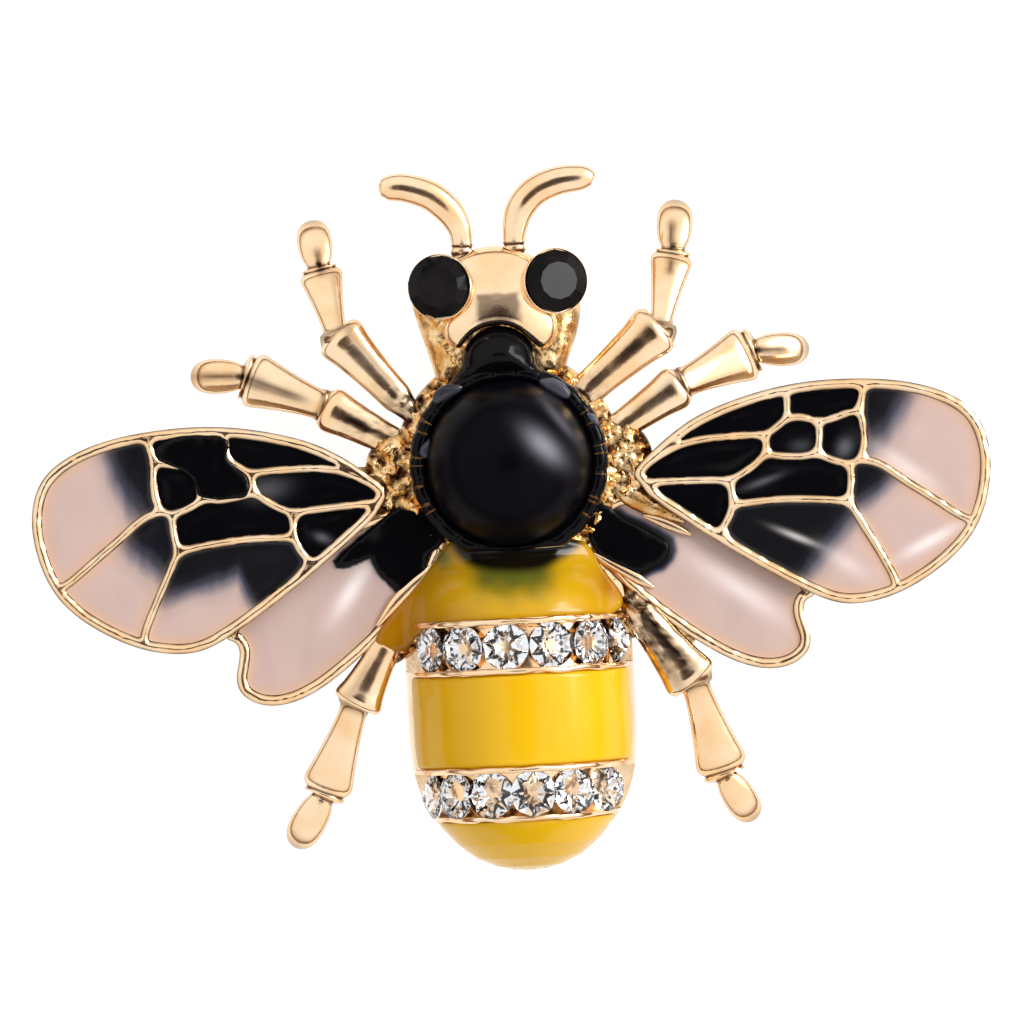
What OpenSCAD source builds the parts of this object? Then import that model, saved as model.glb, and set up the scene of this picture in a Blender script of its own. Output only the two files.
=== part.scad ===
// Bee brooch: one cast frame with six legs, two feelers and four wings, filled with enamel,
// set with a black pearl, two eyes and two bands of stones, and closed by a pin on its back.
// Millimetres. X runs to the right wing, Y to the head, Z out of the face. The brooch lies on Z = 0.

/* [Body] */
// Height of the casting's flat back above the surface that the brooch lies on
back_z = 3.2; // [2.6:0.1:4.4]
// Gap between a set piece and the metal around it
set_gap = 0.04; // [0.02:0.01:0.07]
// Turn of the whole wing pair about the pearl, in degrees
wing_turn = 1.3; // [0:0.1:2.5]

/* [Pearl and collar] */
// Diameter of the black pearl
pearl_d = 8.3; // [7.6:0.1:8.8]
// Height of the pearl's centre above the casting's back
pearl_lift = 3.4; // [3.1:0.1:3.8]
// Thickness of the metal under the pearl
cup_floor = 0.8; // [0.6:0.1:1.2]
// Height of the cup that holds the pearl
cup_h = 2.6; // [2.2:0.1:2.8]
// Wall of the cup around the pearl
cup_wall = 0.7; // [0.6:0.05:0.9]
// Height of the enamelled collar on the cup
collar_h = 1.1; // [0.8:0.1:1.4]
// How far the collar stands out past the cup's hollow
collar_w = 0.75; // [0.6:0.05:0.85]
// Depth of the lobes around the collar
lobe_depth = 0.16; // [0.05:0.01:0.25]
// How far the collar's ledge reaches below the pearl's centre
ledge_reach = 5.4; // [5.3:0.05:5.6]
// Height of the ledge
ledge_h = 0.6; // [0.4:0.05:0.9]
// Distance of the ledge's straight edge below the pearl's centre
ledge_from = 4; // [3.8:0.05:4.2]
// Radius of the plate under the collar, which the legs and wings spring from
plate_r = 5.7; // [5.3:0.1:6]

/* [Head] */
// Width of the head across the cheeks
head_w = 8.3; // [7.6:0.1:9]
// Distance from the pearl's centre to the top of the face
face_reach = 10.75; // [10.3:0.05:11.2]
// Height of the face above the casting's back
head_h = 3.9; // [3.2:0.1:4.4]
// Width of the face between the eyes
face_w = 3.3; // [2.9:0.1:3.5]
// Width of the face where it meets the neck
yoke_w = 4.7; // [4.2:0.1:5.2]
// Diameter of an eye stone
eye_d = 3.15; // [2.7:0.05:3.5]
// Distance between the middles of the eyes
eye_apart = 5.86; // [5.6:0.02:6.2]
// Distance from the pearl's centre to the line of the eyes
eye_reach = 8.94; // [8.6:0.02:9.2]
// Outward lean of the eyes, in degrees
eye_lean = 16; // [8:1:22]
// Wall of the cup around an eye
eye_wall = 0.22; // [0.15:0.01:0.35]
// Width of the enamelled dome on the neck
neck_w = 3.5; // [3:0.1:3.9]
// Distance from the pearl's centre to the front of the neck dome
neck_reach = 6.62; // [6.3:0.02:6.9]

/* [Feelers] */
// How far a feeler rises above the top of the face
feeler_rise = 3.95; // [3.4:0.05:4.6]
// Thickness of a feeler at its widest
feeler_d = 1.5; // [1.2:0.05:1.7]

/* [Forewings] */
// Distance from the body's middle line to the root of a forewing
fore_root = 6.3; // [6.1:0.05:6.6]
// Length of a forewing from root to tip
fore_length = 17.7; // [16.5:0.1:19]
// Breadth of a forewing
fore_breadth = 11.2; // [10.6:0.1:11.8]
// Distance of a forewing's lowest edge below the pearl's centre
fore_low = 8.4; // [8.1:0.05:8.7]
// Thickness of a forewing
fore_t = 1.5; // [1.3:0.1:1.9]
// Height of a forewing's underside above the casting's back
fore_lift = 0.9; // [0.7:0.1:1.1]
// Width of the metal rim around a wing
rim_w = 0.5; // [0.4:0.02:0.7]
// Width of the metal veins between the enamel cells
vein_w = 0.38; // [0.3:0.02:0.5]
// Depth of the enamel cells
cell_depth = 0.6; // [0.45:0.05:0.8]
// How far the enamel lies below the top of its metal edges
enamel_low = 0.06; // [0.02:0.01:0.15]

/* [Hindwings] */
// Distance from the body's middle line to the root of a hindwing
hind_root = 3.6; // [3.5:0.05:3.8]
// Length of a hindwing
hind_length = 10.8; // [10.3:0.1:11.2]
// Breadth of a hindwing
hind_breadth = 8; // [7.6:0.1:8.4]
// Distance of a hindwing's lowest edge below the pearl's centre
hind_low = 11.15; // [10.9:0.05:11.4]
// Thickness of a hindwing
hind_t = 1.3; // [1.1:0.1:1.5]
// Height of a hindwing's underside above the casting's back
hind_lift = 0.45; // [0.3:0.05:0.6]

/* [Abdomen] */
// Distance from the pearl's centre to the waist, where the abdomen starts
waist_reach = 4.9; // [4.7:0.05:5]
// Length of the abdomen from the waist to the tail's tip
abdomen_l = 15.53; // [15:0.01:16.5]
// Width of the abdomen
abdomen_w = 11.44; // [11:0.02:12]
// Height of the abdomen above the casting's back
abdomen_h = 6; // [5.6:0.1:6.4]
// Wall of the hollow abdomen under its bands of stones
abdomen_wall = 0.8; // [0.6:0.05:1]
// Depth of the enamel on the abdomen
coat_t = 0.4; // [0.3:0.05:0.5]
// Height above the back where the enamel on the abdomen stops
coat_low = 1.9; // [1.6:0.1:2.4]
// Distance from the pearl's centre to the near edge of the upper channel
upper_from = 8.02; // [7.9:0.02:8.2]
// Distance from the pearl's centre to the near edge of the lower channel
lower_from = 15.36; // [15.2:0.02:15.5]
// Width of the channels that hold the stones
channel_w = 2.2; // [2.16:0.02:2.3]
// Depth of the channels
channel_depth = 1.3; // [1.26:0.02:1.5]
// Height above the back where the channels stop
channel_low = 0.6; // [0.5:0.05:0.8]
// Width of the metal lip beside a channel
lip_w = 0.22; // [0.16:0.02:0.3]

/* [Stones] */
// Diameter of a stone in the bands
stone_d = 2.08; // [1.9:0.02:2.1]
// Height of a stone's crown above its girdle
crown_h = 0.42; // [0.34:0.02:0.5]
// Depth of a stone below its girdle
pavilion_h = 0.74; // [0.6:0.02:0.8]
// Distance of a girdle below the outside of the abdomen
stone_sink = 0.34; // [0.3:0.02:0.4]

/* [Legs] */
// Distance from the body's middle line to the end of a middle foot
leg_reach = 15.6; // [14.8:0.1:16.4]
// Width of a leg at its widest
leg_w = 2.35; // [2:0.05:2.6]
// Height of a leg as a share of its width, in percent
leg_share = 72; // [60:2:85]
// Height of a leg's underside above the casting's back, at its root
leg_lift = 0.8; // [0.6:0.1:1.2]
// Height of the front and middle feet above the surface; the hind feet stand on it
foot_rise = 0.35; // [0.1:0.05:0.8]

/* [Pin] */
// Length of the bar on the back
bar_l = 26; // [22:0.5:27]
// Width of the bar
bar_w = 3.2; // [2.8:0.1:3.4]
// Thickness of the bar
bar_t = 0.7; // [0.5:0.1:0.9]
// Diameter of the pin's stem
stem_d = 0.7; // [0.6:0.05:0.9]
// Length of the hinge block and of the catch along the bar
block_l = 3; // [2.4:0.1:3.6]
// Distance of the pin below the pearl's centre
pin_drop = 1.4; // [1:0.1:1.6]

/* [Hidden] */

gold = [0.93, 0.78, 0.55];
black = [0.05, 0.05, 0.06];
rose = [0.85, 0.73, 0.70];
yellow = [0.93, 0.72, 0.05];
clear_glass = [0.92, 0.93, 0.95];

// The pearl's centre is raised so that the whole brooch is centred on the origin
body_y = (waist_reach + abdomen_l - face_reach - feeler_rise) / 2;
pearl_r = pearl_d / 2;
pearl_z = back_z + pearl_lift;
cup_r = pearl_r + set_gap;
cup_out = cup_r + cup_wall;
cup_top = back_z + cup_h;
collar_r = cup_r + collar_w;
fore_z = back_z + fore_lift;
hind_z = back_z + hind_lift;
lobes = 26;
// How far a cut runs past what it cuts, and the height of a cut that is open at the top
past = 1;
tall = 3 * abdomen_h;

// Forewing rim: along the wing and across it, both in percent of its length and breadth
fore_rim = [
    [1, 61], [-1, 66], [1.5, 71], [10, 82], [19.5, 91], [34, 98], [48, 101.5], [62.5, 101.5], [76.5, 99],
    [87.5, 93.5], [95, 86], [99, 76], [100.5, 62], [99, 46], [95.5, 32], [90, 21.5], [82, 12], [72, 4],
    [62, 0.5], [53.5, 1.5], [44, 9.5], [33, 20.5], [22, 32.5], [11.5, 45], [3.5, 55]
];
// Knots of the forewing's veins, in the same percentages; those past the rim close the outer cells
fore_knots = [
    [0, 62], [18, 61], [26.5, 60], [26.5, 49], [25.5, 44], [22, 36], [10, 44], [0, 67], [10.5, 76.5],
    [17.5, 79], [24.5, 79.5], [31.5, 79.5], [37.5, 79], [13, 86], [28, 98], [44, 104], [44, 90.5],
    [43.5, 85.5], [40.5, 82], [37, 70.5], [33.5, 66], [30, 62.5], [56.5, 106], [66.5, 103], [64.5, 86.5],
    [60.5, 86], [56.5, 84], [52.5, 83], [47.5, 86], [52.5, 77], [51.5, 69], [46.5, 68], [41, 69],
    [65, 79.5], [65, 71.5], [63.5, 65], [60.5, 63], [55.5, 65.5], [60.5, 55.5], [59.5, 46.5],
    [51.5, 48.5], [40, 50], [33, 49.5], [62, 38.5], [67, 23.5], [71.5, 8.5], [70, -3], [57.5, -3],
    [43.5, 5], [69, 62.5], [75.5, 54], [82.5, 46], [91.5, 35], [101, 29], [92, 13], [82, 3],
    [103, 62], [101, 84], [90, 98], [76.5, 104]
];
// Each cell is the round of knots that encloses it
fore_cells = [
    [8, 9, 10, 11, 12, 18, 17, 16, 15, 14, 13],
    [0, 1, 2, 21, 20, 19, 12, 11, 10, 9, 8, 7],
    [6, 5, 4, 3, 2, 1, 0],
    [17, 28, 27, 26, 25, 24, 23, 22, 15, 16],
    [19, 32, 31, 30, 29, 27, 28, 17, 18, 12],
    [30, 37, 36, 35, 34, 33, 24, 25, 26, 27, 29],
    [3, 42, 41, 40, 39, 38, 36, 37, 30, 31, 32, 19, 20, 21, 2],
    [48, 47, 46, 45, 44, 43, 39, 40, 41, 42, 3, 4, 5],
    [39, 43, 44, 45, 46, 55, 54, 53, 52, 51, 50, 49, 35, 36, 38],
    [35, 49, 50, 51, 52, 53, 56, 57, 58, 59, 23, 24, 33, 34]
];
cell_names = ["a", "b", "c", "d", "e", "f", "g", "h", "i", "j"];
dark_cells = ["a", "b", "c", "d", "e", "f", "g"];

// Hindwing rim, in percent of the hindwing's length and breadth
hind_rim = [
    [-1, 90], [5, 76], [16, 57], [31, 37.5], [48.5, 18.5], [64, 5], [78, -1.5], [90, -0.5], [98.5, 7],
    [100.5, 17], [98.5, 27], [97.5, 34.5], [99, 40.5], [105, 43], [97, 60], [70, 85], [44, 108], [26, 116],
    [9, 112]
];
// The pane and the root cell of a hindwing, in the same percentages
hind_pane = [
    [25.5, 59.5], [34.5, 67], [39.5, 77], [38, 86], [46, 96], [79, 72], [108, 50], [112, 34], [104, 27],
    [106, 5], [90, -8], [62, -4], [46, 12], [28, 32], [12, 54]
];
hind_dark = [[-8, 92], [4, 70], [24, 59], [34, 67], [39, 77], [37.5, 86], [44, 94], [26, 120], [4, 122]];

// Outline of the abdomen: share of its length from the waist, and half-width and height shares,
// all in percent
abdomen_form = [
    [0, 82, 58], [4, 92, 72], [9, 97, 86], [15, 99, 95], [22, 100, 99], [45, 100, 100], [58, 100, 100],
    [68, 97.5, 98], [77, 90, 91], [84.5, 78, 79], [91, 62, 63], [95.5, 47, 47], [98.5, 30, 30], [100, 12, 12]
];

// Angles of the stones around the abdomen and their own lean, in degrees, left to right
upper_stones = [[-55.5, 0], [-31.2, 0], [-6.8, 0], [17.7, 0], [42.2, 0], [66.6, 0]];
lower_stones = [[-70, 0], [-45.3, 0], [-21, 6], [4.3, 0], [29, 0], [54, -14]];

// Legs: root, knee, ankle and foot (out and up), then the widths of thigh, shin and foot,
// all in percent of leg_reach or leg_w. The first three are on the left.
leg_rows = [
    [-35, 23, -53.5, 44.8, -58, 66.5, -60, 82, 100, 86, 74],
    [-31.5, 5.5, -58.5, 21.5, -84, 32.5, -101.5, 33.5, 90, 110, 74],
    [-43, -57.5, -53.5, -75.5, -65.5, -104.5, -76, -120.5, 98, 100, 74],
    [26, 22, 51, 42, 56.5, 66, 58.5, 82.5, 106, 84, 76],
    [31.5, 7, 57, 22.8, 81, 32.5, 99, 32, 88, 110, 72],
    [40, -51, 56, -74, 64.5, -104.5, 73.5, -119.5, 108, 102, 70]
];
// A leg's swell: which stretch (0 thigh, 1 shin, 2 foot), share along it, share of its width
leg_swell = [
    [0, 0, 66], [0, 50, 86], [0, 88, 104], [0, 98, 98], [1, 3, 72], [1, 12, 70], [1, 55, 86], [1, 90, 103],
    [1, 99, 92], [2, 5, 78], [2, 16, 94], [2, 60, 100], [2, 88, 84], [2, 100, 46]
];
// Heights of the underside at root, knee, ankle and foot, in percent of the root's
leg_fall = [100, 95, 46, 0];
// A leg's section: side and up, as shares of its width and height
leg_section = [
    [-0.5, -0.3], [-0.3, -0.5], [0.3, -0.5], [0.5, -0.3], [0.5, 0.08], [0.28, 0.5], [-0.28, 0.5], [-0.5, 0.08]
];

// Feelers: out, share of the rise and share of the thickness; out is in percent of the head's width
feeler_left = [
    [-17, -30, 50], [-21.5, -8, 74], [-21.5, 10, 72], [-23, 30, 82], [-29, 52, 98], [-39.5, 71, 100],
    [-54, 82, 94], [-65, 83, 78], [-69, 82, 46]
];
feeler_right = [
    [8, -30, 50], [9.8, -8, 74], [10, 10, 74], [11.5, 30, 88], [15.5, 51, 100], [24.5, 70, 100],
    [38, 83, 98], [53, 86, 80], [59, 83, 46]
];

// One pass of corner cutting on a closed outline
function cut_corners(p) = [
    for (i = [0:len(p) - 1]) let (a = p[i], b = p[(i + 1) % len(p)])
        each [0.75 * a + 0.25 * b, 0.25 * a + 0.75 * b]
];
function unit(v) = v / norm(v);
// Moves a closed counter-clockwise outline inward by d, keeping its corners mitred
function inset(p, d) = [
    for (i = [0:len(p) - 1])
        let (
            n = len(p),
            a = unit(p[i] - p[(i + n - 1) % n]),
            b = unit(p[(i + 1) % n] - p[i]),
            na = [-a.y, a.x],
            nb = [-b.y, b.x]
        )
        p[i] + d * (na + nb) / (1 + na * nb)
];
function area(p) = let (n = len(p))
    [for (i = 0, s = 0; i <= n; s = s + (i < n ? cross(p[i], p[(i + 1) % n]) : 0), i = i + 1) s][n] / 2;
function wound(p) = area(p) < 0 ? [for (i = [len(p) - 1:-1:0]) p[i]] : p;
function table_at(t, x, c) = x <= t[0][0] ? t[0][c] : x >= t[len(t) - 1][0] ? t[len(t) - 1][c] : [
    for (i = [0:len(t) - 2]) if (x >= t[i][0] && x < t[i + 1][0])
        t[i][c] + (t[i + 1][c] - t[i][c]) * (x - t[i][0]) / (t[i + 1][0] - t[i][0])
][0];

function fore_at(q) = [fore_root + q.x * fore_length / 100, q.y * fore_breadth / 100 - fore_low];
function hind_at(q) = [hind_root + q.x * hind_length / 100, q.y * hind_breadth / 100 - hind_low];
// Rounded outlines, moved inward by d
function fore_line(d) = cut_corners(inset([for (q = wound(fore_rim)) fore_at(q)], d));
function hind_line(d) = cut_corners(inset([for (q = wound(hind_rim)) hind_at(q)], d));
function fore_cell(i, d) = cut_corners(inset(wound([for (k = fore_cells[i]) fore_at(fore_knots[k])]), d));
function hind_cell(loop, d) = cut_corners(inset(wound([for (q = loop) hind_at(q)]), d));

// Places a shape of the right wing on either side
module on_side(side) {
    rotate([0, 0, wing_turn]) mirror([side == "left" ? 1 : 0, 0, 0]) children();
}

// The hollow that one cell leaves in a wing, grown or shrunk by a clearance
module fore_pool(i, from_z, to_z, less) {
    translate([0, 0, from_z]) intersection() {
        linear_extrude(to_z - from_z) polygon(fore_cell(i, vein_w / 2 + less));
        linear_extrude(to_z - from_z) polygon(fore_line(rim_w + less));
    }
}
module hind_pool(loop, from_z, to_z, less) {
    translate([0, 0, from_z]) difference() {
        intersection() {
            linear_extrude(to_z - from_z) polygon(hind_cell(loop, less));
            linear_extrude(to_z - from_z) polygon(hind_line(rim_w + less));
        }
        linear_extrude(to_z - from_z) polygon(fore_line(-less - set_gap));
        cylinder(r = collar_r + lobe_depth + set_gap + less, h = to_z - from_z, $fn = 72);
    }
}

module wing_metal() {
    translate([0, 0, fore_z]) linear_extrude(fore_t) polygon(fore_line(0));
    translate([0, 0, hind_z]) linear_extrude(hind_t) polygon(hind_line(0));
}
module wing_pools() {
    for (i = [0:len(fore_cells) - 1])
        fore_pool(i, fore_z + fore_t - cell_depth, fore_z + fore_t + past, 0);
    // These end between the plate under the collar and the enamel on the abdomen
    for (loop = [hind_pane, hind_dark])
        hind_pool(
            loop, hind_z + hind_t - cell_depth, max(hind_z + hind_t, back_z + coat_low) + set_gap / 2, 0
        );
}

// Half-width and height of the abdomen at a distance from the pearl's centre
function half_width(y) = table_at(abdomen_form, 100 * (y - waist_reach) / abdomen_l, 1) * abdomen_w / 200;
function height(y) = table_at(abdomen_form, 100 * (y - waist_reach) / abdomen_l, 2) * abdomen_h / 100;
// A half-round section drawn in by less, and the sections between two ends; the table's rows that
// lie nearer to an end than station_gap are left out
ring_steps = 20;
least_h = 0.1;
station_gap = 0.15;
function abdomen_ring(y, less) = [
    for (i = [0:ring_steps]) let (t = 180 * i / ring_steps)
        [(half_width(y) - less) * cos(t), -y, back_z + max(height(y) - less, least_h) * sin(t)]
];
function loft_stations(from_y, to_y) = concat(
    [from_y],
    [for (row = abdomen_form) let (y = waist_reach + row[0] * abdomen_l / 100)
        if (y > from_y + station_gap && y < to_y - station_gap) y],
    [to_y]
);
module abdomen_loft(from_y, to_y, less) {
    rings = [for (y = loft_stations(from_y, to_y)) abdomen_ring(y, less)];
    n = len(rings[0]);
    last = (len(rings) - 1) * n;
    polyhedron(
        points = [for (r = rings, p = r) p],
        faces = concat(
            [[for (i = [0:n - 1]) i]],
            [[for (i = [n - 1:-1:0]) last + i]],
            [for (k = [0:len(rings) - 2], i = [0:n - 1])
                let (j = (i + 1) % n) [k * n + i, (k + 1) * n + i, (k + 1) * n + j, k * n + j]]
        ),
        convexity = 4
    );
}
// How far the abdomen and its first coat run in under the collar
waist_in = 0.5;
coat_in = 0.4;
// Metal that the hollow leaves at the waist and at the tail's tip
waist_solid = 1;
tail_solid = 1.6;
// How far the enamel lies below the metal beside it, and how far its cut reaches out of the metal
coat_skin = 0.02;
coat_out = 0.3;
tail_low = coat_low / 2;
tail_y = waist_reach + abdomen_l;
shoulder_to = upper_from - lip_w;
band_from = upper_from + channel_w + lip_w;
band_to = lower_from - lip_w;
tail_from = lower_from + channel_w + lip_w;

// The space between the abdomen's outside and a depth under it, over one stretch of its length
module coat(from_y, to_y, depth, low, gap) {
    difference() {
        intersection() {
            abdomen_loft(waist_reach - waist_in, tail_y, gap > 0 ? coat_skin : -coat_out);
            translate([-abdomen_w, -to_y + gap, back_z + low + gap])
                cube([2 * abdomen_w, to_y - from_y - 2 * gap, 2 * abdomen_h]);
        }
        abdomen_loft(from_y - past, min(to_y, tail_y) + past, depth - gap);
    }
}

// What the pearl, the collar and its ledge take out of the metal and out of the coats around them
module collar_space(gap) {
    translate([0, 0, cup_top]) {
        cylinder(r = collar_r + lobe_depth + gap, h = tall, $fn = 72);
        intersection() {
            cylinder(r = ledge_reach + gap, h = tall, $fn = 72);
            translate([-ledge_reach, -2 * ledge_reach, 0])
                cube([2 * ledge_reach, 2 * ledge_reach - ledge_from + gap, tall]);
        }
    }
}
module cup_space() {
    translate([0, 0, back_z + cup_floor]) cylinder(r = cup_r, h = tall, $fn = 64);
}

module abdomen_metal() {
    difference() {
        abdomen_loft(waist_reach - waist_in, tail_y, 0);
        coat(waist_reach - past, shoulder_to, coat_t, coat_low, 0);
        coat(upper_from, upper_from + channel_w, channel_depth, channel_low, 0);
        coat(band_from, band_to, coat_t, coat_low, 0);
        coat(lower_from, lower_from + channel_w, channel_depth, channel_low, 0);
        coat(tail_from, tail_y + past, coat_t, tail_low, 0);
        translate([0, 0, -least_h / 2])
            abdomen_loft(waist_reach + waist_solid, tail_y - tail_solid, channel_depth + abdomen_wall);
    }
}

// A leg swept through stations; each row is x, y, z, width, height
module limb(rows) {
    n = len(leg_section);
    function way(i) = unit([
        for (c = [0, 1]) rows[min(i + 1, len(rows) - 1)][c] - rows[max(i - 1, 0)][c]
    ]);
    pts = [
        for (i = [0:len(rows) - 1], q = leg_section)
            let (w = way(i), r = rows[i])
            [r[0] - w.y * q.x * r[3], r[1] + w.x * q.x * r[3], r[2] + q.y * r[4]]
    ];
    last = (len(rows) - 1) * n;
    polyhedron(
        points = pts,
        faces = concat(
            [[for (i = [0:n - 1]) i]],
            [[for (i = [n - 1:-1:0]) last + i]],
            [for (k = [0:len(rows) - 2], i = [0:n - 1])
                let (j = (i + 1) % n) [k * n + i, (k + 1) * n + i, (k + 1) * n + j, k * n + j]]
        ),
        convexity = 6
    );
}
// Place of a leg's joint, with the height of its underside
function leg_joint(row, k) =
    let (foot = row[1] < 0 ? 0 : foot_rise)
    [
        row[2 * k] * leg_reach / 100, row[2 * k + 1] * leg_reach / 100,
        foot + (back_z + leg_lift - foot) * leg_fall[k] / 100
    ];
// A hip's radius as a share of its thigh's width, the radius of its inner end, and the place of that
// end as shares of the root's place: across, along for the front and middle legs, along for the hind
hip_share = 0.385;
hip_in_r = 1.1;
hip_in = [0.8, 0.72, 0.96];
module leg(row) {
    rows = [
        for (s = leg_swell)
            let (
                a = leg_joint(row, s[0]),
                b = leg_joint(row, s[0] + 1),
                p = a + (b - a) * s[1] / 100,
                w = leg_w * row[8 + s[0]] / 100 * s[2] / 100,
                h = w * leg_share / 100
            )
            [p.x, p.y, p.z + h / 2, w, h]
    ];
    limb(rows);
    // The thigh's root swells into the body; the hind hips pass under the hindwings
    root = leg_joint(row, 0);
    hind = root.y < 0;
    hip_r = hip_share * leg_w * row[8] / 100;
    inner_r = hind ? (hind_lift + hind_t - cell_depth) / 2 : hip_in_r;
    hull() {
        translate(root + [0, 0, hip_r]) sphere(r = hip_r, $fn = 12);
        translate([root.x * hip_in.x, root.y * (hind ? hip_in[2] : hip_in.y), back_z + inner_r])
            sphere(r = inner_r, $fn = 12);
    }
}

// Height of the feelers' root on the head, and how far they climb from there to their tips
feeler_share = 0.6;
feeler_climb = 0.5;
module feeler(row) {
    limb([
        for (q = row) let (d = feeler_d * q[2] / 100) [
            q[0] * head_w / 100, face_reach + q[1] * feeler_rise / 100,
            back_z + head_h * feeler_share + feeler_climb * q[1] / 100, d, d
        ]
    ]);
}

// The face and the eyes stand a little left of the middle line
head_x = -0.25;
eye_x = -0.1;
// An eye's girdle lies this far below the face, in a cup of this depth and rim above the girdle
eye_sink = 0.15;
eye_back = 1;
cup_depth = 1.6;
cup_rim = 0.15;
seat_low = 0.1;
// The seat's pointed part: room under the stone, gap to the straight part and radius of its tip
seat_room = 0.3;
seat_gap = 0.05;
seat_tip = 0.1;
// Radius of a cup's foot as a share of the eye
cup_foot = 0.36;
eye_z = back_z + head_h - eye_sink;
module at_eye(side) {
    translate([side * eye_apart / 2 + eye_x, eye_reach, eye_z]) rotate([0, side * eye_lean, 0]) children();
}
// The neck dome: height of its middle, place and radius of its two feet at the collar, and its floor
neck_r = neck_w / 2;
neck_z = pearl_z - 0.9;
neck_foot_x = 0.66 * neck_r;
neck_foot_r = 0.72 * neck_r;
neck_foot = [collar_r - 0.7, neck_z - 0.3];
neck_floor = back_z + 1.6;
module neck_form(grow) {
    intersection() {
        neck_dome(grow);
        translate([-neck_w, 0, neck_floor - grow]) cube([2 * neck_w, 2 * neck_reach, 2 * neck_w]);
    }
}
module neck_dome(grow) {
    hull() {
        translate([head_x, neck_reach - neck_r, neck_z]) sphere(r = neck_r + grow, $fn = 24);
        for (side = [-1, 1]) translate([head_x + side * neck_foot_x, neck_foot.x, neck_foot.y])
            sphere(r = neck_foot_r + grow, $fn = 20);
    }
}
// One post of the head, standing between two heights above the back
module post(x, y, low, high, foot_r, top_r) {
    translate([head_x + x, y, back_z + low]) cylinder(r1 = foot_r, r2 = top_r, h = high - low, $fn = 20);
}
// The head's posts: how far each ends below the face, its radius at the foot and its radius at the top
brow_post = [0.2, 0.9, 0.6];
yoke_post = [0.45, 0.95, 0.75];
nose_post = [0, 1.5, 1];
face_depth = 1.9;
// The block behind the yoke: distance past the neck dome, height and radius
nape = [0.98, 1, 2];
// The cheeks: radius as a share of the head's width, how far they lie below the face, the height of
// their feet, and how far their posts stand before the eyes and inside the collar's edge
cheek_share = 0.16;
cheek_drop = [1.1, 1.6];
cheek_foot = 0.6;
cheek_back = [1.54, 0.54];
cheek_in = 0.9;
cheek_top = [0.7, 0.8];
// Distance of the yoke's posts inside the neck dome's front
yoke_in = 0.7;
module head_metal() {
    face_low = head_h - face_depth;
    face_x = face_w / 2 - brow_post[1];
    yoke_x = yoke_w / 2 - brow_post[1];
    cheek_r = cheek_share * head_w;
    // The cheeks' upper posts stand beside the eyes, the lower ones nearer in beside the collar
    cheek_y = [eye_reach - cheek_back[0], collar_r - cheek_back[1]];
    cheek_x = [head_w / 2 - cheek_r, head_w / 2 - cheek_r - cheek_in];
    difference() {
        union() {
            // Face between the eyes, widening to a yoke around the neck
            hull() {
                for (side = [-1, 1]) {
                    post(side * face_x, face_reach - brow_post[1], face_low,
                         head_h - brow_post[0], brow_post[1], brow_post[2]);
                    post(side * yoke_x, neck_reach - yoke_in, face_low,
                         head_h - yoke_post[0], yoke_post[1], yoke_post[2]);
                }
                post(0, eye_reach, head_h - nose_post[2], head_h - nose_post[0], nose_post[1], nose_post[2]);
                post(0, neck_reach + nape[0], 0, nape[1], nape[2], nape[2]);
            }
            // Cheeks from the eyes down to the collar
            hull() for (side = [-1, 1]) {
                post(side * cheek_x[0], cheek_y[0], cheek_foot, head_h - cheek_drop[0],
                     cheek_r, cheek_top[0] * cheek_r);
                post(side * cheek_x[1], cheek_y[1], 0,
                    head_h - cheek_drop[1], cheek_r, cheek_top[1] * cheek_r);
            }
            for (side = [-1, 1]) at_eye(side)
                translate([0, 0, -cup_depth])
                    cylinder(r1 = cup_foot * eye_d, r2 = eye_d / 2 + eye_wall,
                        h = cup_depth + cup_rim, $fn = 28);
        }
        // Each eye's seat: straight around its girdle, pointed under it
        for (side = [-1, 1]) at_eye(side) {
            translate([0, 0, -seat_low - set_gap])
                cylinder(r = eye_d / 2 + set_gap, h = tall, $fn = 36);
            translate([0, 0, -eye_back - seat_room])
                cylinder(r1 = seat_tip, r2 = eye_d / 2 + set_gap,
                    h = eye_back + seat_room - seat_gap, $fn = 36);
        }
    }
}

// Shoulders that carry the wings: where each end starts across, its lower edge, length and breadth
shoulder_ends = [[plate_r - 2, -2.6, 1, 4.7], [fore_root - 0.4, -1.9, 1.2, 3.1]];
shoulder_under = [coat_low - 0.1, fore_lift + fore_t - cell_depth - 0.05];
plate_taper = 0.3;
module thorax_metal() {
    translate([0, 0, back_z]) cylinder(r = cup_out, h = cup_h, $fn = 48);
    // The plate ends where the enamel on the abdomen starts
    translate([0, 0, back_z]) cylinder(r1 = plate_r, r2 = plate_r - plate_taper, h = coat_low, $fn = 48);
    for (side = ["right", "left"]) on_side(side) hull()
        for (k = [0, 1]) let (q = shoulder_ends[k])
            translate([q[0], q[1], back_z]) cube([q[2], q[3], shoulder_under[k]]);
}

module casting() {
    color(gold) translate([0, body_y, 0]) difference() {
        union() {
            thorax_metal();
            head_metal();
            abdomen_metal();
            for (row = leg_rows) leg(row);
            feeler(feeler_left);
            feeler(feeler_right);
            for (side = ["right", "left"]) on_side(side) wing_metal();
        }
        collar_space(set_gap);
        cup_space();
        neck_form(set_gap);
        for (side = ["right", "left"]) on_side(side) wing_pools();
    }
}

// The pearl stands on a flat cut, on the floor of its cup
module thorax_pearl() {
    color(black) translate([0, body_y, pearl_z]) intersection() {
        sphere(r = pearl_r, $fn = 96);
        translate([-pearl_d, -pearl_d, back_z + cup_floor + set_gap - pearl_z]) cube(2 * pearl_d);
    }
}

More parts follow.
